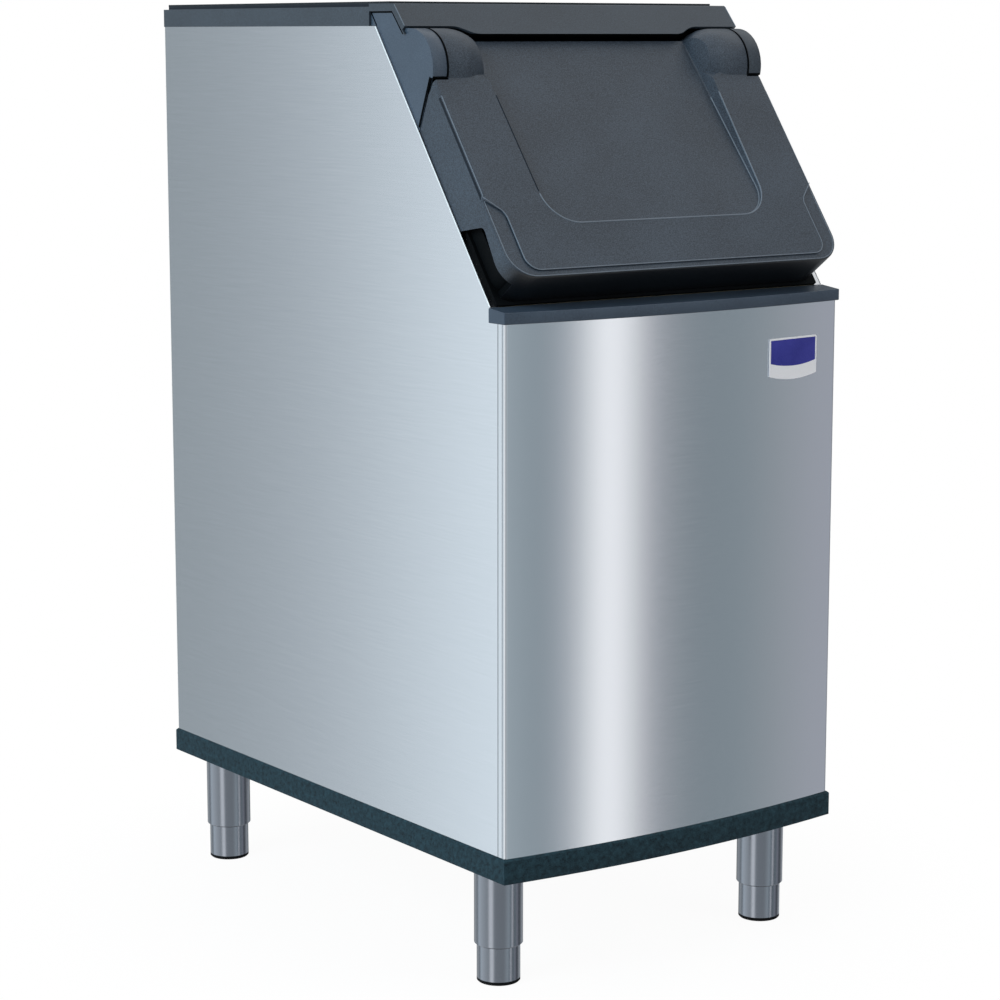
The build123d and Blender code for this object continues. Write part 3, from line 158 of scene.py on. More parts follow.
def platedSteel(name, colour, roughness, mottleMm):
    # zinc or satin nickel plating: soft metal sheen with a faint mottle
    look = {"octaves": 4.0, "smoother": 0.06, "rougher": 0.08}
    material, plate = newMaterial(name, Metallic=1.0, Base_Color=srgb(colour))
    place = addNode(material, "ShaderNodeTexCoord")
    mottle = addNode(material, "ShaderNodeTexNoise", {"Scale": 1000 / mottleMm, "Detail": look["octaves"]},
                     {"Vector": place.outputs["Object"]})
    spread = addNode(material, "ShaderNodeMapRange",
                     {"To Min": roughness - look["smoother"], "To Max": roughness + look["rougher"]},
                     {"Value": mottle.outputs["Fac"]})
    join(material, spread.outputs["Result"], plate.inputs["Roughness"])
    return material


# long hair-fine scratches, front to back on the side sheets and from side to side on the front
sideSteel = brushedStainless("brushed_stainless_side", 1)
frontSteel = brushedStainless("brushed_stainless_front", 0)
# rotationally moulded door: a pebbled satin that breaks the light on the broad slope
doorPlastic = mouldedPlastic("moulded_polyethylene_door", "1d252e", "3e4955", grainMm=1.5, roughness=0.45,
                             depthMm=0.14, driftShare=0.2)
# fine satin grain, a little lighter than the door
trimPlastic = mouldedPlastic("moulded_abs_trim", "252d35", "3a444e", grainMm=1.3, roughness=0.42,
                             depthMm=0.09, driftShare=0.25)
sillPlastic = mouldedPlastic("moulded_abs_sill", "2c3846", "3e4c5b", grainMm=1.3, roughness=0.42)
# smoother moulding with a soft sheen on its flank
coverPlastic = mouldedPlastic("moulded_abs_hinge_cover", "33404e", "4a5766", grainMm=1.3, roughness=0.36,
                              depthMm=0.06)
# nearly matt and mottled blue-green every few millimetres
railPlastic = mouldedPlastic("moulded_abs_rail", "0a1c23", "27424c", grainMm=1.6, roughness=0.6,
                             depthMm=0.06, driftMm=7, driftShare=0.5, gloss=0.2)
# black and matt ABS, made darker still as painted shade, so that what lies behind the door's edge stays dark
framePlastic = mouldedPlastic("moulded_abs_black_and_painted_shade", "050708", "0b0e11", grainMm=1.0, roughness=0.7, gloss=0.08)
# painted shade: near-black with nearly no gloss, which reads as an open joint in shade
paintedShade = mouldedPlastic("painted_shade_black", "030506", "080b0e", grainMm=1.0, roughness=0.8,
                              gloss=0.05)
# painted highlight: pale and glossy, seen as a fine bright line along rounded edges
paintedHighlight = mouldedPlastic("painted_highlight_bead", "5c6670", "6c7682", grainMm=0.9, roughness=0.35)
# edge that turns away from the light, seen as a fine dark line
edgePlastic = mouldedPlastic("rounded_edge_in_shade", "12181f", "1c242d", grainMm=1.2, roughness=0.5,
                             gloss=0.2)
# painted highlight: a white line laid along the folded edge of the sheet
paintedWhiteHighlight = mouldedPlastic("painted_white_highlight", "f4f7f9", "ffffff", grainMm=1.0, roughness=0.3,
                            depthMm=0.01)
# food-safe white, smooth and evenly bright
linerPlastic = mouldedPlastic("moulded_polyethylene_white", "dfe3e3", "eef0f0", grainMm=2.5, roughness=0.35,
                              depthMm=0.02)
# plain pale grey with a dull shine
drainPlastic = mouldedPlastic("moulded_pvc_drain", "b9bcbc", "c9cccc", grainMm=1.5, roughness=0.4,
                              depthMm=0.02)
# ivory, smooth from the lathe
bushPlastic = mouldedPlastic("turned_acetal", "dcdcd4", "e8e8e2", grainMm=1.5, roughness=0.3, depthMm=0.01)
# black and dull, so that pads and seals swallow the light
padRubber = mouldedPlastic("moulded_rubber_pad", "060708", "0c0e10", grainMm=0.8, roughness=0.6, gloss=0.1)
sealRubber = mouldedPlastic("extruded_rubber", "15161a", "202226", grainMm=0.8, roughness=0.6)
# cut cells make a coarse dull skin
gasketFoam = mouldedPlastic("closed_cell_foam", "171c20", "22292f", grainMm=1.6, roughness=0.8, depthMm=0.2)
# yellow-brown, with the lumpy skin of a poured foam
insulationFoam = mouldedPlastic("poured_polyurethane", "6e6750", "7c755e", grainMm=3.0, roughness=0.8,
                                depthMm=0.4)
# fired glass: deep blue under a clear gloss
enamelPlate = mouldedPlastic("enamelled_plate", "1e2088", "3638a2", grainMm=2.0, roughness=0.22,
                             depthMm=0.01, driftMm=60, driftShare=0.8)
# even pale ink with a satin shine
plateSilver = mouldedPlastic("silver_print", "f2f2f6", "f8f8fb", grainMm=1.0, roughness=0.3, depthMm=0.01)
# satin plating, which draws soft upright bands down a round leg
legSteel = platedSteel("satin_plated_steel", "8e9299", roughness=0.2, mottleMm=3)
# spangle of hot-dip zinc in patches of a centimetre or so
galvanisedSteel = platedSteel("galvanised_sheet", "c0c4c5", roughness=0.42, mottleMm=14)
# bright zinc on small hardware, finely mottled
zincSteel = platedSteel("zinc_plated_steel", "b4b6b4", roughness=0.35, mottleMm=3)

# the right hinge cover lies in shade in the photograph, so it has the trim's darker plastic
finishes = {
    "left_side_panel": sideSteel, "right_side_panel": sideSteel, "front_panel": frontSteel,
    "back_panel": galvanisedSteel, "bottom_panel": galvanisedSteel,
    "front_leg_channel": galvanisedSteel, "rear_leg_channel": galvanisedSteel,
    "back_panel_screws": zincSteel, "leg_studs": zincSteel, "leg_nuts": zincSteel, "hinge_pins": zincSteel,
    "base_rail": railPlastic, "sill": sillPlastic, "header": trimPlastic, "top_trim": trimPlastic,
    "left_hinge_cover": coverPlastic, "right_hinge_cover": trimPlastic,
    "door_shell": doorPlastic, "door_pan": linerPlastic, "door_frame": framePlastic,
    "liner": linerPlastic, "ice_deflector": linerPlastic, "deflector_screws": framePlastic,
    "drain_fitting": drainPlastic, "drain_strainer": linerPlastic,
    "door_seal": sealRubber, "top_gasket": gasketFoam, "hinge_bushes": bushPlastic,
    "door_insulation": insulationFoam, "foam_insulation": insulationFoam, "nameplate": enamelPlate,
}
for place in legPlaces:
    finishes[place + "_leg"] = legSteel
    finishes[place + "_foot"] = legSteel
    finishes[place + "_pad"] = padRubber
for name, material in finishes.items():
    node = nodes[name]
    node.data.materials.clear()
    node.data.materials.append(material)


def paintNotchShade():
    # painted shade: near-black walls in the finger notches and on the barrels' ends, so that both read as
    # deep joints in shade
    notch = {"flankMm": 273.6, "floorMm": 257.6, "topMm": -224.5, "outMm": 14.0, "endMm": 249.2,
             "barrelMm": 51.0, "floorRoomMm": 1.0, "endRoomMm": 0.3, "sideways": 0.7, "inward": -0.15}
    door = nodes["door_shell"].data
    door.materials.append(paintedShade)
    black = len(door.materials) - 1
    slope = math.radians(hinge["slopeDeg"])
    for face in door.polygons:
        x, y, z = (1000 * value for value in face.center)
        along, out = toSlope(y, z)
        faceOut = face.normal.z * math.cos(slope) - face.normal.y * math.sin(slope)
        sideways = abs(face.normal.x) > notch["sideways"]
        inNotch = (notch["floorMm"] < abs(x) < notch["flankMm"] and along < notch["topMm"]
                   and out < notch["outMm"])
        onFloor = sideways and abs(x) < notch["floorMm"] + notch["floorRoomMm"]
        onEnd = (sideways and abs(abs(x) - notch["endMm"]) < notch["endRoomMm"]
                 and math.hypot(along, out) < notch["barrelMm"])
        if (inNotch and (faceOut < notch["inward"] or onFloor)) or onEnd:
            face.material_index = black


def shadeLowWall():
    # the door's low wall faces down the slope into the sill's shade, so its colour falls to near black
    # round the corners
    wall = {"belowM": 0.546, "litAt": 0.3, "darkAt": 0.9, "darkest": 0.12}
    plastic = doorPlastic.node_tree.nodes["Principled BSDF"]
    tint = plastic.inputs["Base Color"].links[0].from_socket
    slope = math.radians(hinge["slopeDeg"])
    place = addNode(doorPlastic, "ShaderNodeTexCoord")
    facing = addNode(doorPlastic, "ShaderNodeVectorMath", {1: (0, -math.cos(slope), -math.sin(slope))},
                     {0: place.outputs["Normal"]}, operation="DOT_PRODUCT")
    light = addNode(doorPlastic, "ShaderNodeMapRange", {"From Min": wall["litAt"], "From Max": wall["darkAt"],
                                                        "To Min": 1.0, "To Max": wall["darkest"]},
                    {"Value": facing.outputs["Value"]}, interpolation_type="SMOOTHSTEP")
    along = addNode(doorPlastic, "ShaderNodeVectorMath", {1: (0, math.cos(slope), math.sin(slope))},
                    {0: place.outputs["Object"]}, operation="DOT_PRODUCT")
    above = addNode(doorPlastic, "ShaderNodeMath", {1: wall["belowM"]}, {0: along.outputs["Value"]},
                    operation="GREATER_THAN")
    share = addNode(doorPlastic, "ShaderNodeMath", operation="MAXIMUM",
                    links={0: above.outputs[0], 1: light.outputs["Result"]})
    shaded = addNode(doorPlastic, "ShaderNodeMix", {"A": (0, 0, 0, 1)},
                     {"B": tint, "Factor": share.outputs[0]}, data_type="RGBA")
    join(doorPlastic, shaded.outputs["Result"], plastic.inputs["Base Color"])


paintNotchShade()
shadeLowWall()
print("materials set on", len(finishes), "nodes")


def softenEdges(node, radiusMm):
    # moulded edges are slightly round, so each one catches a fine line of light
    soft = {"mergeM": 0.00001, "flatDeg": 1.0, "edgeDeg": 28.0, "rings": 3}
    weld = node.modifiers.new("weld", "WELD")
    weld.merge_threshold = soft["mergeM"]
    flat = node.modifiers.new("flat", "DECIMATE")
    flat.decimate_type = "DISSOLVE"
    flat.angle_limit = math.radians(soft["flatDeg"])
    flat.delimit = {"MATERIAL"}
    bevel = node.modifiers.new("round", "BEVEL")
    bevel.width = radiusMm / 1000
    bevel.segments = soft["rings"]
    bevel.limit_method = "ANGLE"
    bevel.angle_limit = math.radians(soft["edgeDeg"])
    bevel.use_clamp_overlap = True
    bevel.harden_normals = True


edgeRadius = {
    "door_shell": 1.6, "header": 1.5, "top_trim": 1.5, "sill": 1.2, "base_rail": 1.6,
    "left_hinge_cover": 1.2, "right_hinge_cover": 1.2,
}
for name, radiusMm in edgeRadius.items():
    softenEdges(nodes[name], radiusMm)
print("edges softened on", len(edgeRadius), "nodes")


def newLine(name, points, radiusMm, material, endShare=1.0):
    # a thin round line through points in mm, whose ends have the given share of its radius
    curve = bpy.data.curves.new(name, "CURVE")
    curve.dimensions = "3D"
    curve.bevel_depth = radiusMm / 1000
    curve.bevel_resolution = 3
    curve.use_fill_caps = True
    line = curve.splines.new("POLY")
    line.points.add(len(points) - 1)
    for point, place in zip(line.points, points):
        point.co = (*(value / 1000 for value in place), 1)
    for end in (0, len(points) - 1):
        line.points[end].radius = endShare
    curve.materials.append(material)
    piece = bpy.data.objects.new(name, curve)
    bpy.context.scene.collection.objects.link(piece)
    return piece


def addSlopeBead(name, points, radiusMm, material=paintedHighlight):
    # fine bead on the door with tapered ends, through points given as (across, along the slope, out from it)
    taper = {"lengthMm": 3.0, "endShare": 0.2}
    first, second, beforeLast, last = (Vector(points[i]) for i in (0, 1, -2, -1))
    fullStart = first + (second - first).normalized() * taper["lengthMm"]
    fullEnd = last + (beforeLast - last).normalized() * taper["lengthMm"]
    path = [first, fullStart, *points[1:-1], fullEnd, last]
    piece = newLine(name, [(x, *fromSlope(along, out)) for x, along, out in path], radiusMm, material,
                    taper["endShare"])
    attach(piece, "door")


def addRecessBeads():
    # painted highlight beads on the rim and in the crease of the door's recess, down one side, across and up
    # the other
    bead = {"floorDeg": 3.2, "draftDeg": 22.0, "lowMm": -260.0, "riseMm": 32.0, "sinkMm": 2.6,
            "halfMm": 181.0, "cornerMm": 46.0, "topMm": 196.0, "radiusMm": 1.1, "bedMm": 0.4,
            "steps": 16, "sideSteps": 6}
    floor, draft = math.radians(bead["floorDeg"]), math.radians(bead["draftDeg"])
    half, corner, top, sideSteps = bead["halfMm"], bead["cornerMm"], bead["topMm"], bead["sideSteps"]
    # each point is (across, up the floor, and the way that the wall leans there as aside and ahead)
    path = [(-half, top - i * (top - corner) / sideSteps, -1, 0) for i in range(sideSteps)]
    for side, start in ((-1, 180), (1, 270)):
        for step in range(bead["steps"] + 1):
            turn = math.radians(start + 90 * step / bead["steps"])
            path.append((side * (half - corner) + corner * math.cos(turn), corner + corner * math.sin(turn),
                         math.cos(turn), math.sin(turn)))
    path += [(half, corner + i * (top - corner) / sideSteps, 1, 0) for i in range(1, sideSteps + 1)]
    for name, share in (("recess_rim_highlight", 1.0), ("recess_crease_highlight", 0.0)):
        points = []
        for x, up, aside, ahead in path:
            depth = (bead["sinkMm"] + up * math.sin(floor)) * share
            spread = depth * math.tan(draft)
            out = bead["riseMm"] - bead["sinkMm"] - up * math.sin(floor) + depth - bead["bedMm"] * share
            points.append((x + spread * aside, bead["lowMm"] + up * math.cos(floor) + spread * ahead, out))
        if share:
            # the rim's left side lies in shade down to the corner
            addSlopeBead("recess_shaded_bead", points[:sideSteps + 1], bead["radiusMm"], edgePlastic)
            points = points[sideSteps:]
        addSlopeBead(name, points, bead["radiusMm"])


def addBorderBead():
    # painted highlight bead along the edge where the door's face steps down to its border
    border = {"edgeMm": 273.0, "halfMm": 247.0, "topMm": -216.0, "turnMm": -242.0, "lowMm": -326.0,
              "cornerMm": 20.0, "outMm": 31.5, "radiusMm": 0.8, "steps": 8}
    edge, half = border["edgeMm"], border["halfMm"]
    corners = [(-edge, border["topMm"]), (-half, border["turnMm"]), (-half, border["lowMm"]),
               (half, border["lowMm"]), (half, border["turnMm"]), (edge, border["topMm"])]
    path = [corners[0]]
    for before, at, after in zip(corners, corners[1:], corners[2:]):
        at, toBefore, toAfter = Vector(at), Vector(before) - Vector(at), Vector(after) - Vector(at)
        bend = toBefore.angle(toAfter)
        reach = border["cornerMm"] / math.tan(bend / 2)
        start, end = at + toBefore.normalized() * reach, at + toAfter.normalized() * reach
        inward = (toBefore.normalized() + toAfter.normalized()).normalized()
        centre = at + inward * border["cornerMm"] / math.sin(bend / 2)
        for step in range(border["steps"] + 1):
            spoke = (start - centre).lerp(end - centre, step / border["steps"]).normalized()
            path.append(tuple(centre + spoke * border["cornerMm"]))
    path.append(corners[-1])
    addSlopeBead("border_highlight", [(x, along, border["outMm"]) for x, along in path], border["radiusMm"])


def addEdgeBead():
    # painted highlight bead round the outer edge of the door's face, along the mould's parting line
    edge = {"halfMm": 270.6, "lowMm": -333.6, "cornerMm": 36.6, "topMm": -64.0, "stepMm": -218.0,
            "stepHalfMm": 4.0, "faceOutMm": 31.2, "borderOutMm": 29.4, "radiusMm": 0.7, "steps": 10}
    half, low, corner = edge["halfMm"], edge["lowMm"], edge["cornerMm"]
    aboveStep, belowStep = edge["stepMm"] + edge["stepHalfMm"], edge["stepMm"] - edge["stepHalfMm"]
    run = [(half, edge["topMm"], edge["faceOutMm"]), (half, aboveStep, edge["faceOutMm"]),
           (half, belowStep, edge["borderOutMm"])]
    for step in range(edge["steps"] + 1):
        turn = math.radians(90 * step / edge["steps"])
        run.append((half - corner + corner * math.cos(turn), low + corner - corner * math.sin(turn),
                    edge["borderOutMm"]))
    path = [(-x, along, out) for x, along, out in run] + run[::-1]
    addSlopeBead("door_edge_highlight", path, edge["radiusMm"])
    # the round outside of that edge lies in shade down both flanks
    shade = {"halfMm": 271.4, "outMm": 28.0, "dropMm": 1.3, "endMm": -296.0, "radiusMm": 2.5}
    for name, side in (("left_shaded_edge", -1), ("right_shaded_edge", 1)):
        across, out = side * shade["halfMm"], shade["outMm"]
        flank = [(across, edge["topMm"], out), (across, aboveStep, out),
                 (across, belowStep, out - shade["dropMm"]), (across, shade["endMm"], out - shade["dropMm"])]
        addSlopeBead(name, flank, shade["radiusMm"], edgePlastic)


addRecessBeads()
addBorderBead()
addEdgeBead()
print("door beads laid")


def addSeam(name, points, radiusMm, material):
    # a fine line along the cabinet, through points given as (x, y, z)
    piece = newLine(name, points, radiusMm, material)
    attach(piece, "cabinet")


def addSeams():
    # painted shade as black lines in the joints round each hinge cover, below the header's lip and below each
    # leg's sleeve, and painted highlights along the edges of the header's lip and of each side panel's fold
    seam = {"ringMm": 49.4, "ringSideMm": 251.2, "startDeg": 193, "turnDeg": 101, "steps": 20,
            "gapMm": 0.4, "legRadiusMm": 0.8}
    ring = []
    for step in range(seam["steps"] + 1):
        turn = math.radians(seam["startDeg"] - seam["turnDeg"] * step / seam["steps"])
        ring.append((seam["ringSideMm"], hinge["yMm"] + seam["ringMm"] * math.cos(turn),
                     hinge["zMm"] + seam["ringMm"] * math.sin(turn)))
    lines = {
        "knuckle_joint_shade": (1.5, paintedShade, ring),
        "knuckle_foot_joint_shade": (2.1, paintedShade, [(273.4, -249.0, 1174.7), (250.9, -249.0, 1174.7)]),
        "cover_foot_joint_shade": (2.2, paintedShade, [(273.1, -245.9, 1174.6), (273.1, -220.8, 1111.6)]),
        "cover_back_joint_shade": (0.9, paintedShade, [(274.0, -124.4, 1239.4), (274.0, -112.2, 1256.0)]),
        "header_joint_shade": (1.2, paintedShade,
                         [(274.2, -112.0, 1256.4), (274.2, -163.4, 1256.4), (277.0, -165.0, 1256.7),
                          (277.0, -189.2, 1229.0)]),
        # painted highlights: pale lines along the header's lip and along each side panel's folded edge
        "header_painted_highlight": (0.6, paintedHighlight, [(277.3, -193.3, 1239.0), (277.3, -170.2, 1265.6)]),
        "panel_fold_painted_highlight": (0.8, paintedWhiteHighlight, [(276.4, -124.9, 1237.9), (276.4, -377.2, 894.4)]),
    }
    # painted shade: the open joint below each leg's sleeve is drawn as a black ring
    for place in legPlaces:
        sleeve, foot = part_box(place + "_leg"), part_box(place + "_foot")
        middle = (foot[0] + foot[1]) * 1000 / 2
        reach = (foot[1].x - foot[0].x) * 1000 / 2 + seam["gapMm"]
        circle = []
        for step in range(2 * seam["steps"] + 1):
            turn = math.pi * step / seam["steps"]
            circle.append((middle.x + reach * math.cos(turn), middle.y + reach * math.sin(turn),
                           sleeve[0].z * 1000 - seam["gapMm"]))
        addSeam(place + "_leg_joint_shade", circle, seam["legRadiusMm"], paintedShade)
    for name, (radiusMm, material, points) in lines.items():
        addSeam("left_" + name, [(-x, y, z) for x, y, z in points], radiusMm, material)
        addSeam("right_" + name, points, radiusMm, material)


def shadeTrimTop():
    # the set-back strip along the top of the trim's sides lies in shade
    strip = {"sideways": 0.9, "besideM": 0.26, "aboveM": 1.2631}
    trim = nodes["top_trim"].data
    trim.materials.append(edgePlastic)
    dark = len(trim.materials) - 1
    for face in trim.polygons:
        if (abs(face.normal.x) > strip["sideways"] and abs(face.center.x) > strip["besideM"]
                and face.center.z > strip["aboveM"]):
            face.material_index = dark


addSeams()
shadeTrimTop()
print("seams laid")


def quadRows(pairs, perRow, closed):
    # quads between pairs of equally long rows of points, joined end to end where they are closed
    faces = []
    for i in range(perRow if closed else perRow - 1):
        j = (i + 1) % perRow
        faces += [(a * perRow + i, a * perRow + j, b * perRow + j, b * perRow + i) for a, b in pairs]
    return faces


def addSilver(name, points, faces):
    # a piece of silver print, fixed to the cabinet with the nameplate
    mesh = bpy.data.meshes.new(name)
    mesh.from_pydata(points, [], faces)
    mesh.materials.append(plateSilver)
    piece = bpy.data.objects.new(name, mesh)
    bpy.context.scene.collection.objects.link(piece)
    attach(piece, "cabinet")


def addPlateTrim():
    # silver frame and lower band that stand just proud of the blue enamel, laid on the bowed plate
    trim = {"frameMm": 2.2, "proudMm": 0.5, "cornerMm": 3.0, "bowMm": 5.6, "wrapMm": 1.4, "rimMm": 0.3,
            "bedMm": 0.2, "castMm": 50.0, "sideShare": 0.9, "steps": 12,
            "bandMm": 17.0, "bandBowMm": 5.0, "bandProud": 0.6}
    low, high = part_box("nameplate")
    middle = (low.x + high.x) / 2
    halfWidth = (high.x - low.x) / 2
    edgeLow = low.z + trim["bowMm"] / 1000
    rim, bed = trim["rimMm"] / 1000, trim["bedMm"] / 1000
    proud, wrap, width = trim["proudMm"] / 1000, trim["wrapMm"] / 1000, trim["frameMm"] / 1000
    corner, bow = trim["cornerMm"] / 1000, trim["bowMm"] / 1000
    half = halfWidth - width
    count = 2 * trim["steps"]

    def outline(inset, top, foot, corner):
        # corner points of the plate's outline, with a bowed foot, clockwise from the left
        half = halfWidth - inset
        points = []
        for sideX, start in ((-1, 180), (1, 90)):
            for step in range(trim["steps"] + 1):
                turn = math.radians(start - 90 * step / trim["steps"])
                points.append((middle + sideX * (half - corner) + corner * math.cos(turn),
                               top - corner + corner * math.sin(turn)))
        for step in range(2 * trim["steps"] + 1):
            along = 1 - step / trim["steps"]
            points.append((middle + half * along, foot - bow * (1 - along * along)))
        return points

    def onPlate(x, z, proud):
        # the place that stands proud of the enamel there, or of a straight line across where the cast misses
        start = Vector((x, low.y - trim["castMm"] / 1000, z))
        hit, place = nodes["nameplate"].ray_cast(start, Vector((0, 1, 0)))[:2]
        across = (high.y - low.y) * (x - low.x) / (high.x - low.x)
        y = place.y if hit else low.y + across * trim["sideShare"]
        return (x, y - proud, z)

    def row(foot, bow):
        # points across the plate between the frame's sides, on a bowed line
        return [(middle - half + 2 * half * i / count, foot - bow * (1 - (2 * i / count - 1) ** 2))
                for i in range(count + 1)]

    # the frame is a flat ring, with an outer wall that wraps the plate's edge and an inner one to the enamel
    outer = outline(rim, high.z - rim, edgeLow + rim, corner)
    edge = outline(-rim / 2, high.z + rim / 2, edgeLow - rim / 2, corner)
    inner = outline(width, high.z - width, edgeLow + width, corner - width + rim)
    rims = [onPlate(x, z, proud)[1] for x, z in outer]
    points = [(x, y, z) for (x, z), y in zip(edge, rims)] + [onPlate(x, z, proud) for x, z in inner]
    points += [(x, y + wrap, z) for (x, z), y in zip(edge, rims)] + [onPlate(x, z, -bed) for x, z in inner]
    addSilver("nameplate_frame", points, quadRows(((0, 1), (2, 0), (1, 3), (3, 2)), len(outer), True))

    # the band is a low bar between the frame's sides, with a wall at each end
    bars = row(edgeLow + trim["bandMm"] / 1000, trim["bandBowMm"] / 1000) + row(edgeLow + width, bow)
    bandProud = trim["proudMm"] * trim["bandProud"] / 1000
    points = [onPlate(x, z, bandProud) for x, z in bars] + [onPlate(x, z, -bed) for x, z in bars]
    perRow = count + 1
    faces = quadRows(((1, 0), (0, 2), (2, 3), (3, 1)), perRow, False)
    faces.append((0, 2 * perRow, 3 * perRow, perRow))
    faces.append((count, perRow + count, 3 * perRow + count, 2 * perRow + count))
    addSilver("nameplate_band", points, faces)


addPlateTrim()
print("nameplate trimmed")


def seenDirectly(material, path):
    # one for camera, glossy and transmission rays, and none for the light that the studio itself scatters
    direct = addNode(material, "ShaderNodeMath", operation="MAXIMUM",
                     links={0: path.outputs["Is Camera Ray"], 1: path.outputs["Is Glossy Ray"]})
    return addNode(material, "ShaderNodeMath", operation="MAXIMUM",
                   links={0: direct.outputs[0], 1: path.outputs["Is Transmission Ray"]})


def addFloor():
    # pale paper floor that fades to the white behind it
    look = {"halfM": 30.0, "paper": "f4f4f4", "unseen": "8c8c8c", "roughness": 0.9,
            "nearM": 0.3, "farM": 0.8, "nearWhite": 0.95}
    half = look["halfM"]
    mesh = bpy.data.meshes.new("studioFloor")
    mesh.from_pydata([(-half, -half, 0), (half, -half, 0), (half, half, 0), (-half, half, 0)], [],
                     [(0, 1, 2, 3)])
    floor = bpy.data.objects.new("studioFloor", mesh)
    bpy.context.scene.collection.objects.link(floor)
    floor.visible_glossy = False
    paper, surface = newMaterial("studio_paper", Roughness=look["roughness"])
    where = addNode(paper, "ShaderNodeTexCoord")
    reach = addNode(paper, "ShaderNodeVectorMath", links={0: where.outputs["Object"]}, operation="LENGTH")
    far = addNode(paper, "ShaderNodeMapRange",
                  {"From Min": look["nearM"], "From Max": look["farM"], "To Min": look["nearWhite"]},
                  {"Value": reach.outputs["Value"]}, interpolation_type="SMOOTHSTEP")
    path = addNode(paper, "ShaderNodeLightPath")
    sheet = addNode(paper, "ShaderNodeMix", {"A": srgb(look["unseen"]), "B": srgb(look["paper"])},
                    {"Factor": path.outputs["Is Camera Ray"]}, data_type="RGBA")
    join(paper, sheet.outputs["Result"], surface.inputs["Base Color"])
    seen = seenDirectly(paper, path)
    share = addNode(paper, "ShaderNodeMath", operation="MULTIPLY",
                    links={0: seen.outputs[0], 1: far.outputs["Result"]})
    white = addNode(paper, "ShaderNodeEmission", {"Color": (1, 1, 1, 1), "Strength": 1.0})
    mixed = addNode(paper, "ShaderNodeMixShader",
                    links={0: share.outputs[0], 1: surface.outputs["BSDF"], 2: white.outputs["Emission"]})
    join(paper, mixed.outputs["Shader"], paper.node_tree.nodes["Material Output"].inputs["Surface"])
    mesh.materials.append(paper)


def addRoom():
    # a room that is white to the eye and lights the bin more softly
    look = {"unseen": 0.45, "seen": 1.0}
    world = bpy.data.worlds.new("studioRoom")
    world.use_nodes = True
    bpy.context.scene.world = world
    background = world.node_tree.nodes["Background"]
    background.inputs["Color"].default_value = (1, 1, 1, 1)
    seen = seenDirectly(world, addNode(world, "ShaderNodeLightPath"))
    strength = addNode(world, "ShaderNodeMapRange", {"To Min": look["unseen"], "To Max": look["seen"]},
                       {"Value": seen.outputs[0]})
    join(world, strength.outputs["Result"], background.inputs["Strength"])


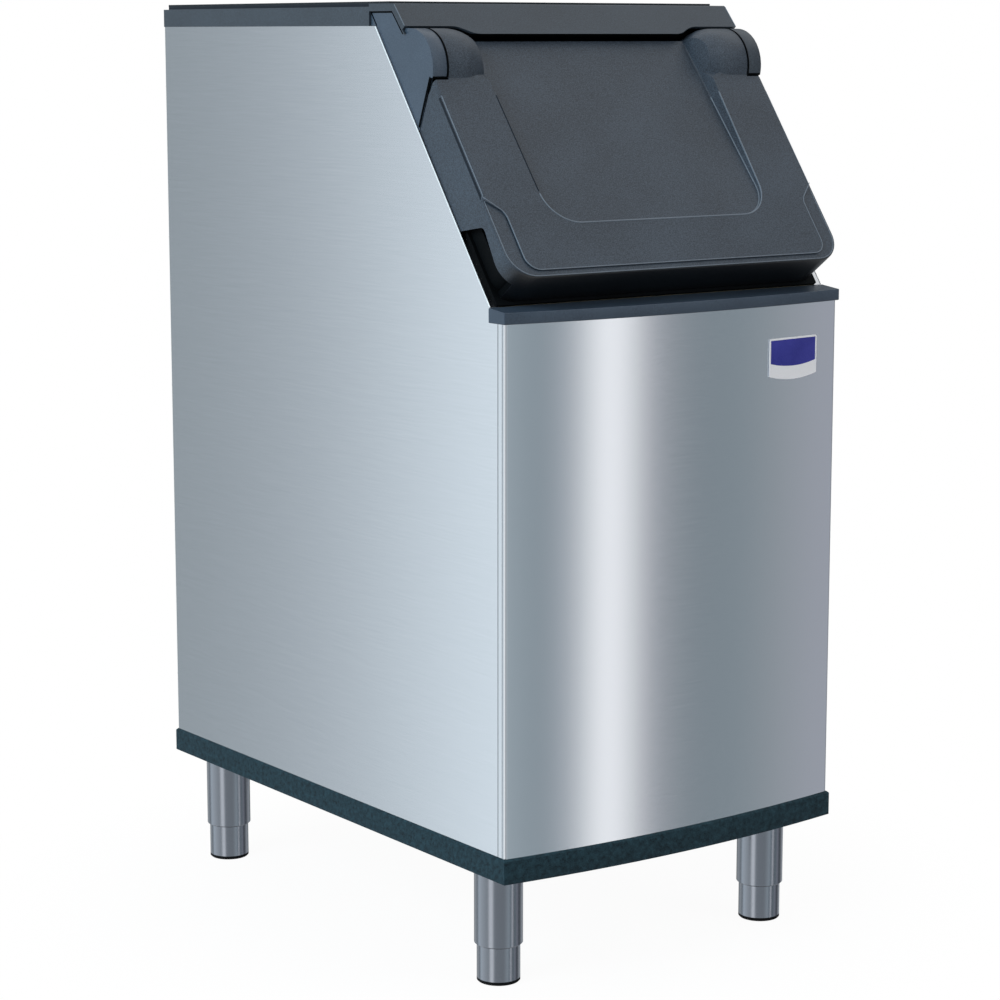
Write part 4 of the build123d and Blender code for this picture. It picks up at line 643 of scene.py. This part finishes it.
def addWall():
    # round studio wall that only reflections see: grey felt with a narrow strip light and wider lit stretches
    wall = {"radius": 5.0, "foot": -5.0, "top": 4.5, "sides": 120, "level": 1.7,
            "stops": [(0, "a7acb0"), (0.02, "9da2a6"), (0.038, "f2f4f6"), (0.074, "f2f4f6"),
                      (0.096, "8f9499"), (0.22, "8c9195"), (0.285, "afb8bd"), (0.302, "64727a"),
                      (0.315, "8e949b"), (0.3245, "f7f7f8"), (0.3295, "eeeef0"), (0.34, "888b91"),
                      (0.355, "717a80"), (0.372, "757f85"), (0.387, "848a8f"), (0.41, "94969f"),
                      (0.445, "4b4e54"), (0.475, "65696d"), (0.52, "a3a6aa"), (0.57, "9ba0a4"),
                      (0.62, "565c60"), (0.68, "54595e"), (0.73, "9a9ea1"), (0.79, "a7acaf"),
                      (0.832, "7e868b"), (0.847, "99a0a6"), (0.866, "ced8df"), (0.9, "c8cfd4"),
                      (1, "a7acb0")]}
    ring = wall["sides"]
    points = []
    for height in (wall["foot"], wall["top"]):
        for i in range(ring):
            turn = 2 * math.pi * i / ring
            points.append((wall["radius"] * math.cos(turn), wall["radius"] * math.sin(turn), height))
    mesh = bpy.data.meshes.new("studioWall")
    mesh.from_pydata(points, [], quadRows(((0, 1),), ring, True))
    felt = bpy.data.materials.new("studio_felt")
    felt.use_nodes = True
    where = addNode(felt, "ShaderNodeTexCoord")
    bearing = addNode(felt, "ShaderNodeTexGradient", links={"Vector": where.outputs["Object"]},
                      gradient_type="RADIAL")
    tone = addNode(felt, "ShaderNodeValToRGB", links={"Fac": bearing.outputs["Fac"]})
    rampStops(tone, [(position, srgb(shade)) for position, shade in wall["stops"]])
    glow = addNode(felt, "ShaderNodeEmission", {"Strength": wall["level"]}, {"Color": tone.outputs["Color"]})
    join(felt, glow.outputs["Emission"], felt.node_tree.nodes["Material Output"].inputs["Surface"])
    mesh.materials.append(felt)
    room = bpy.data.objects.new("studioWall", mesh)
    bpy.context.scene.collection.objects.link(room)
    room.visible_camera = False
    room.visible_diffuse = False
    room.visible_transmission = False
    room.visible_shadow = False


def addLamp(name, position, target, size, power, colour):
    # a softbox that lights the bin but isn't mirrored in the steel
    lamp = bpy.data.lights.new(name, "AREA")
    lamp.shape = "RECTANGLE"
    lamp.size, lamp.size_y = size
    lamp.energy = power
    lamp.color = colour
    holder = bpy.data.objects.new(name, lamp)
    holder.location = position
    holder.rotation_euler = (Vector(target) - Vector(position)).to_track_quat("-Z", "Y").to_euler()
    holder.visible_glossy = False
    bpy.context.scene.collection.objects.link(holder)


def addCamera():
    # placed from the bin's corners in the photograph
    view = {"position": (-2.274, -3.144, 1.228), "headingDeg": 36.04, "pitchDeg": 9.58,
            "focalPx": 2759, "imagePx": 1000, "sensorMm": 36.0, "reachM": 100}
    data = bpy.data.cameras.new("photoCamera")
    data.sensor_width = view["sensorMm"]
    data.lens = view["focalPx"] / view["imagePx"] * data.sensor_width
    data.clip_end = view["reachM"]
    camera = bpy.data.objects.new("photoCamera", data)
    camera.location = view["position"]
    camera.rotation_euler = (math.radians(90 - view["pitchDeg"]), 0, -math.radians(view["headingDeg"]))
    bpy.context.scene.collection.objects.link(camera)
    bpy.context.scene.camera = camera


addFloor()
addRoom()
addWall()
addLamp("sideSoftbox", position=(-3.6, -0.6, 2.4), target=(0, 0, 0.7), size=(2.4, 2.4), power=130,
        colour=(0.71, 0.9, 1.0))
addLamp("frontSoftbox", position=(1.6, -3.4, 2.6), target=(0, 0, 0.8), size=(2.0, 2.0), power=42,
        colour=(1, 1, 1))
addCamera()
bpy.context.scene.view_settings.view_transform = "Standard"
print("studio ready")
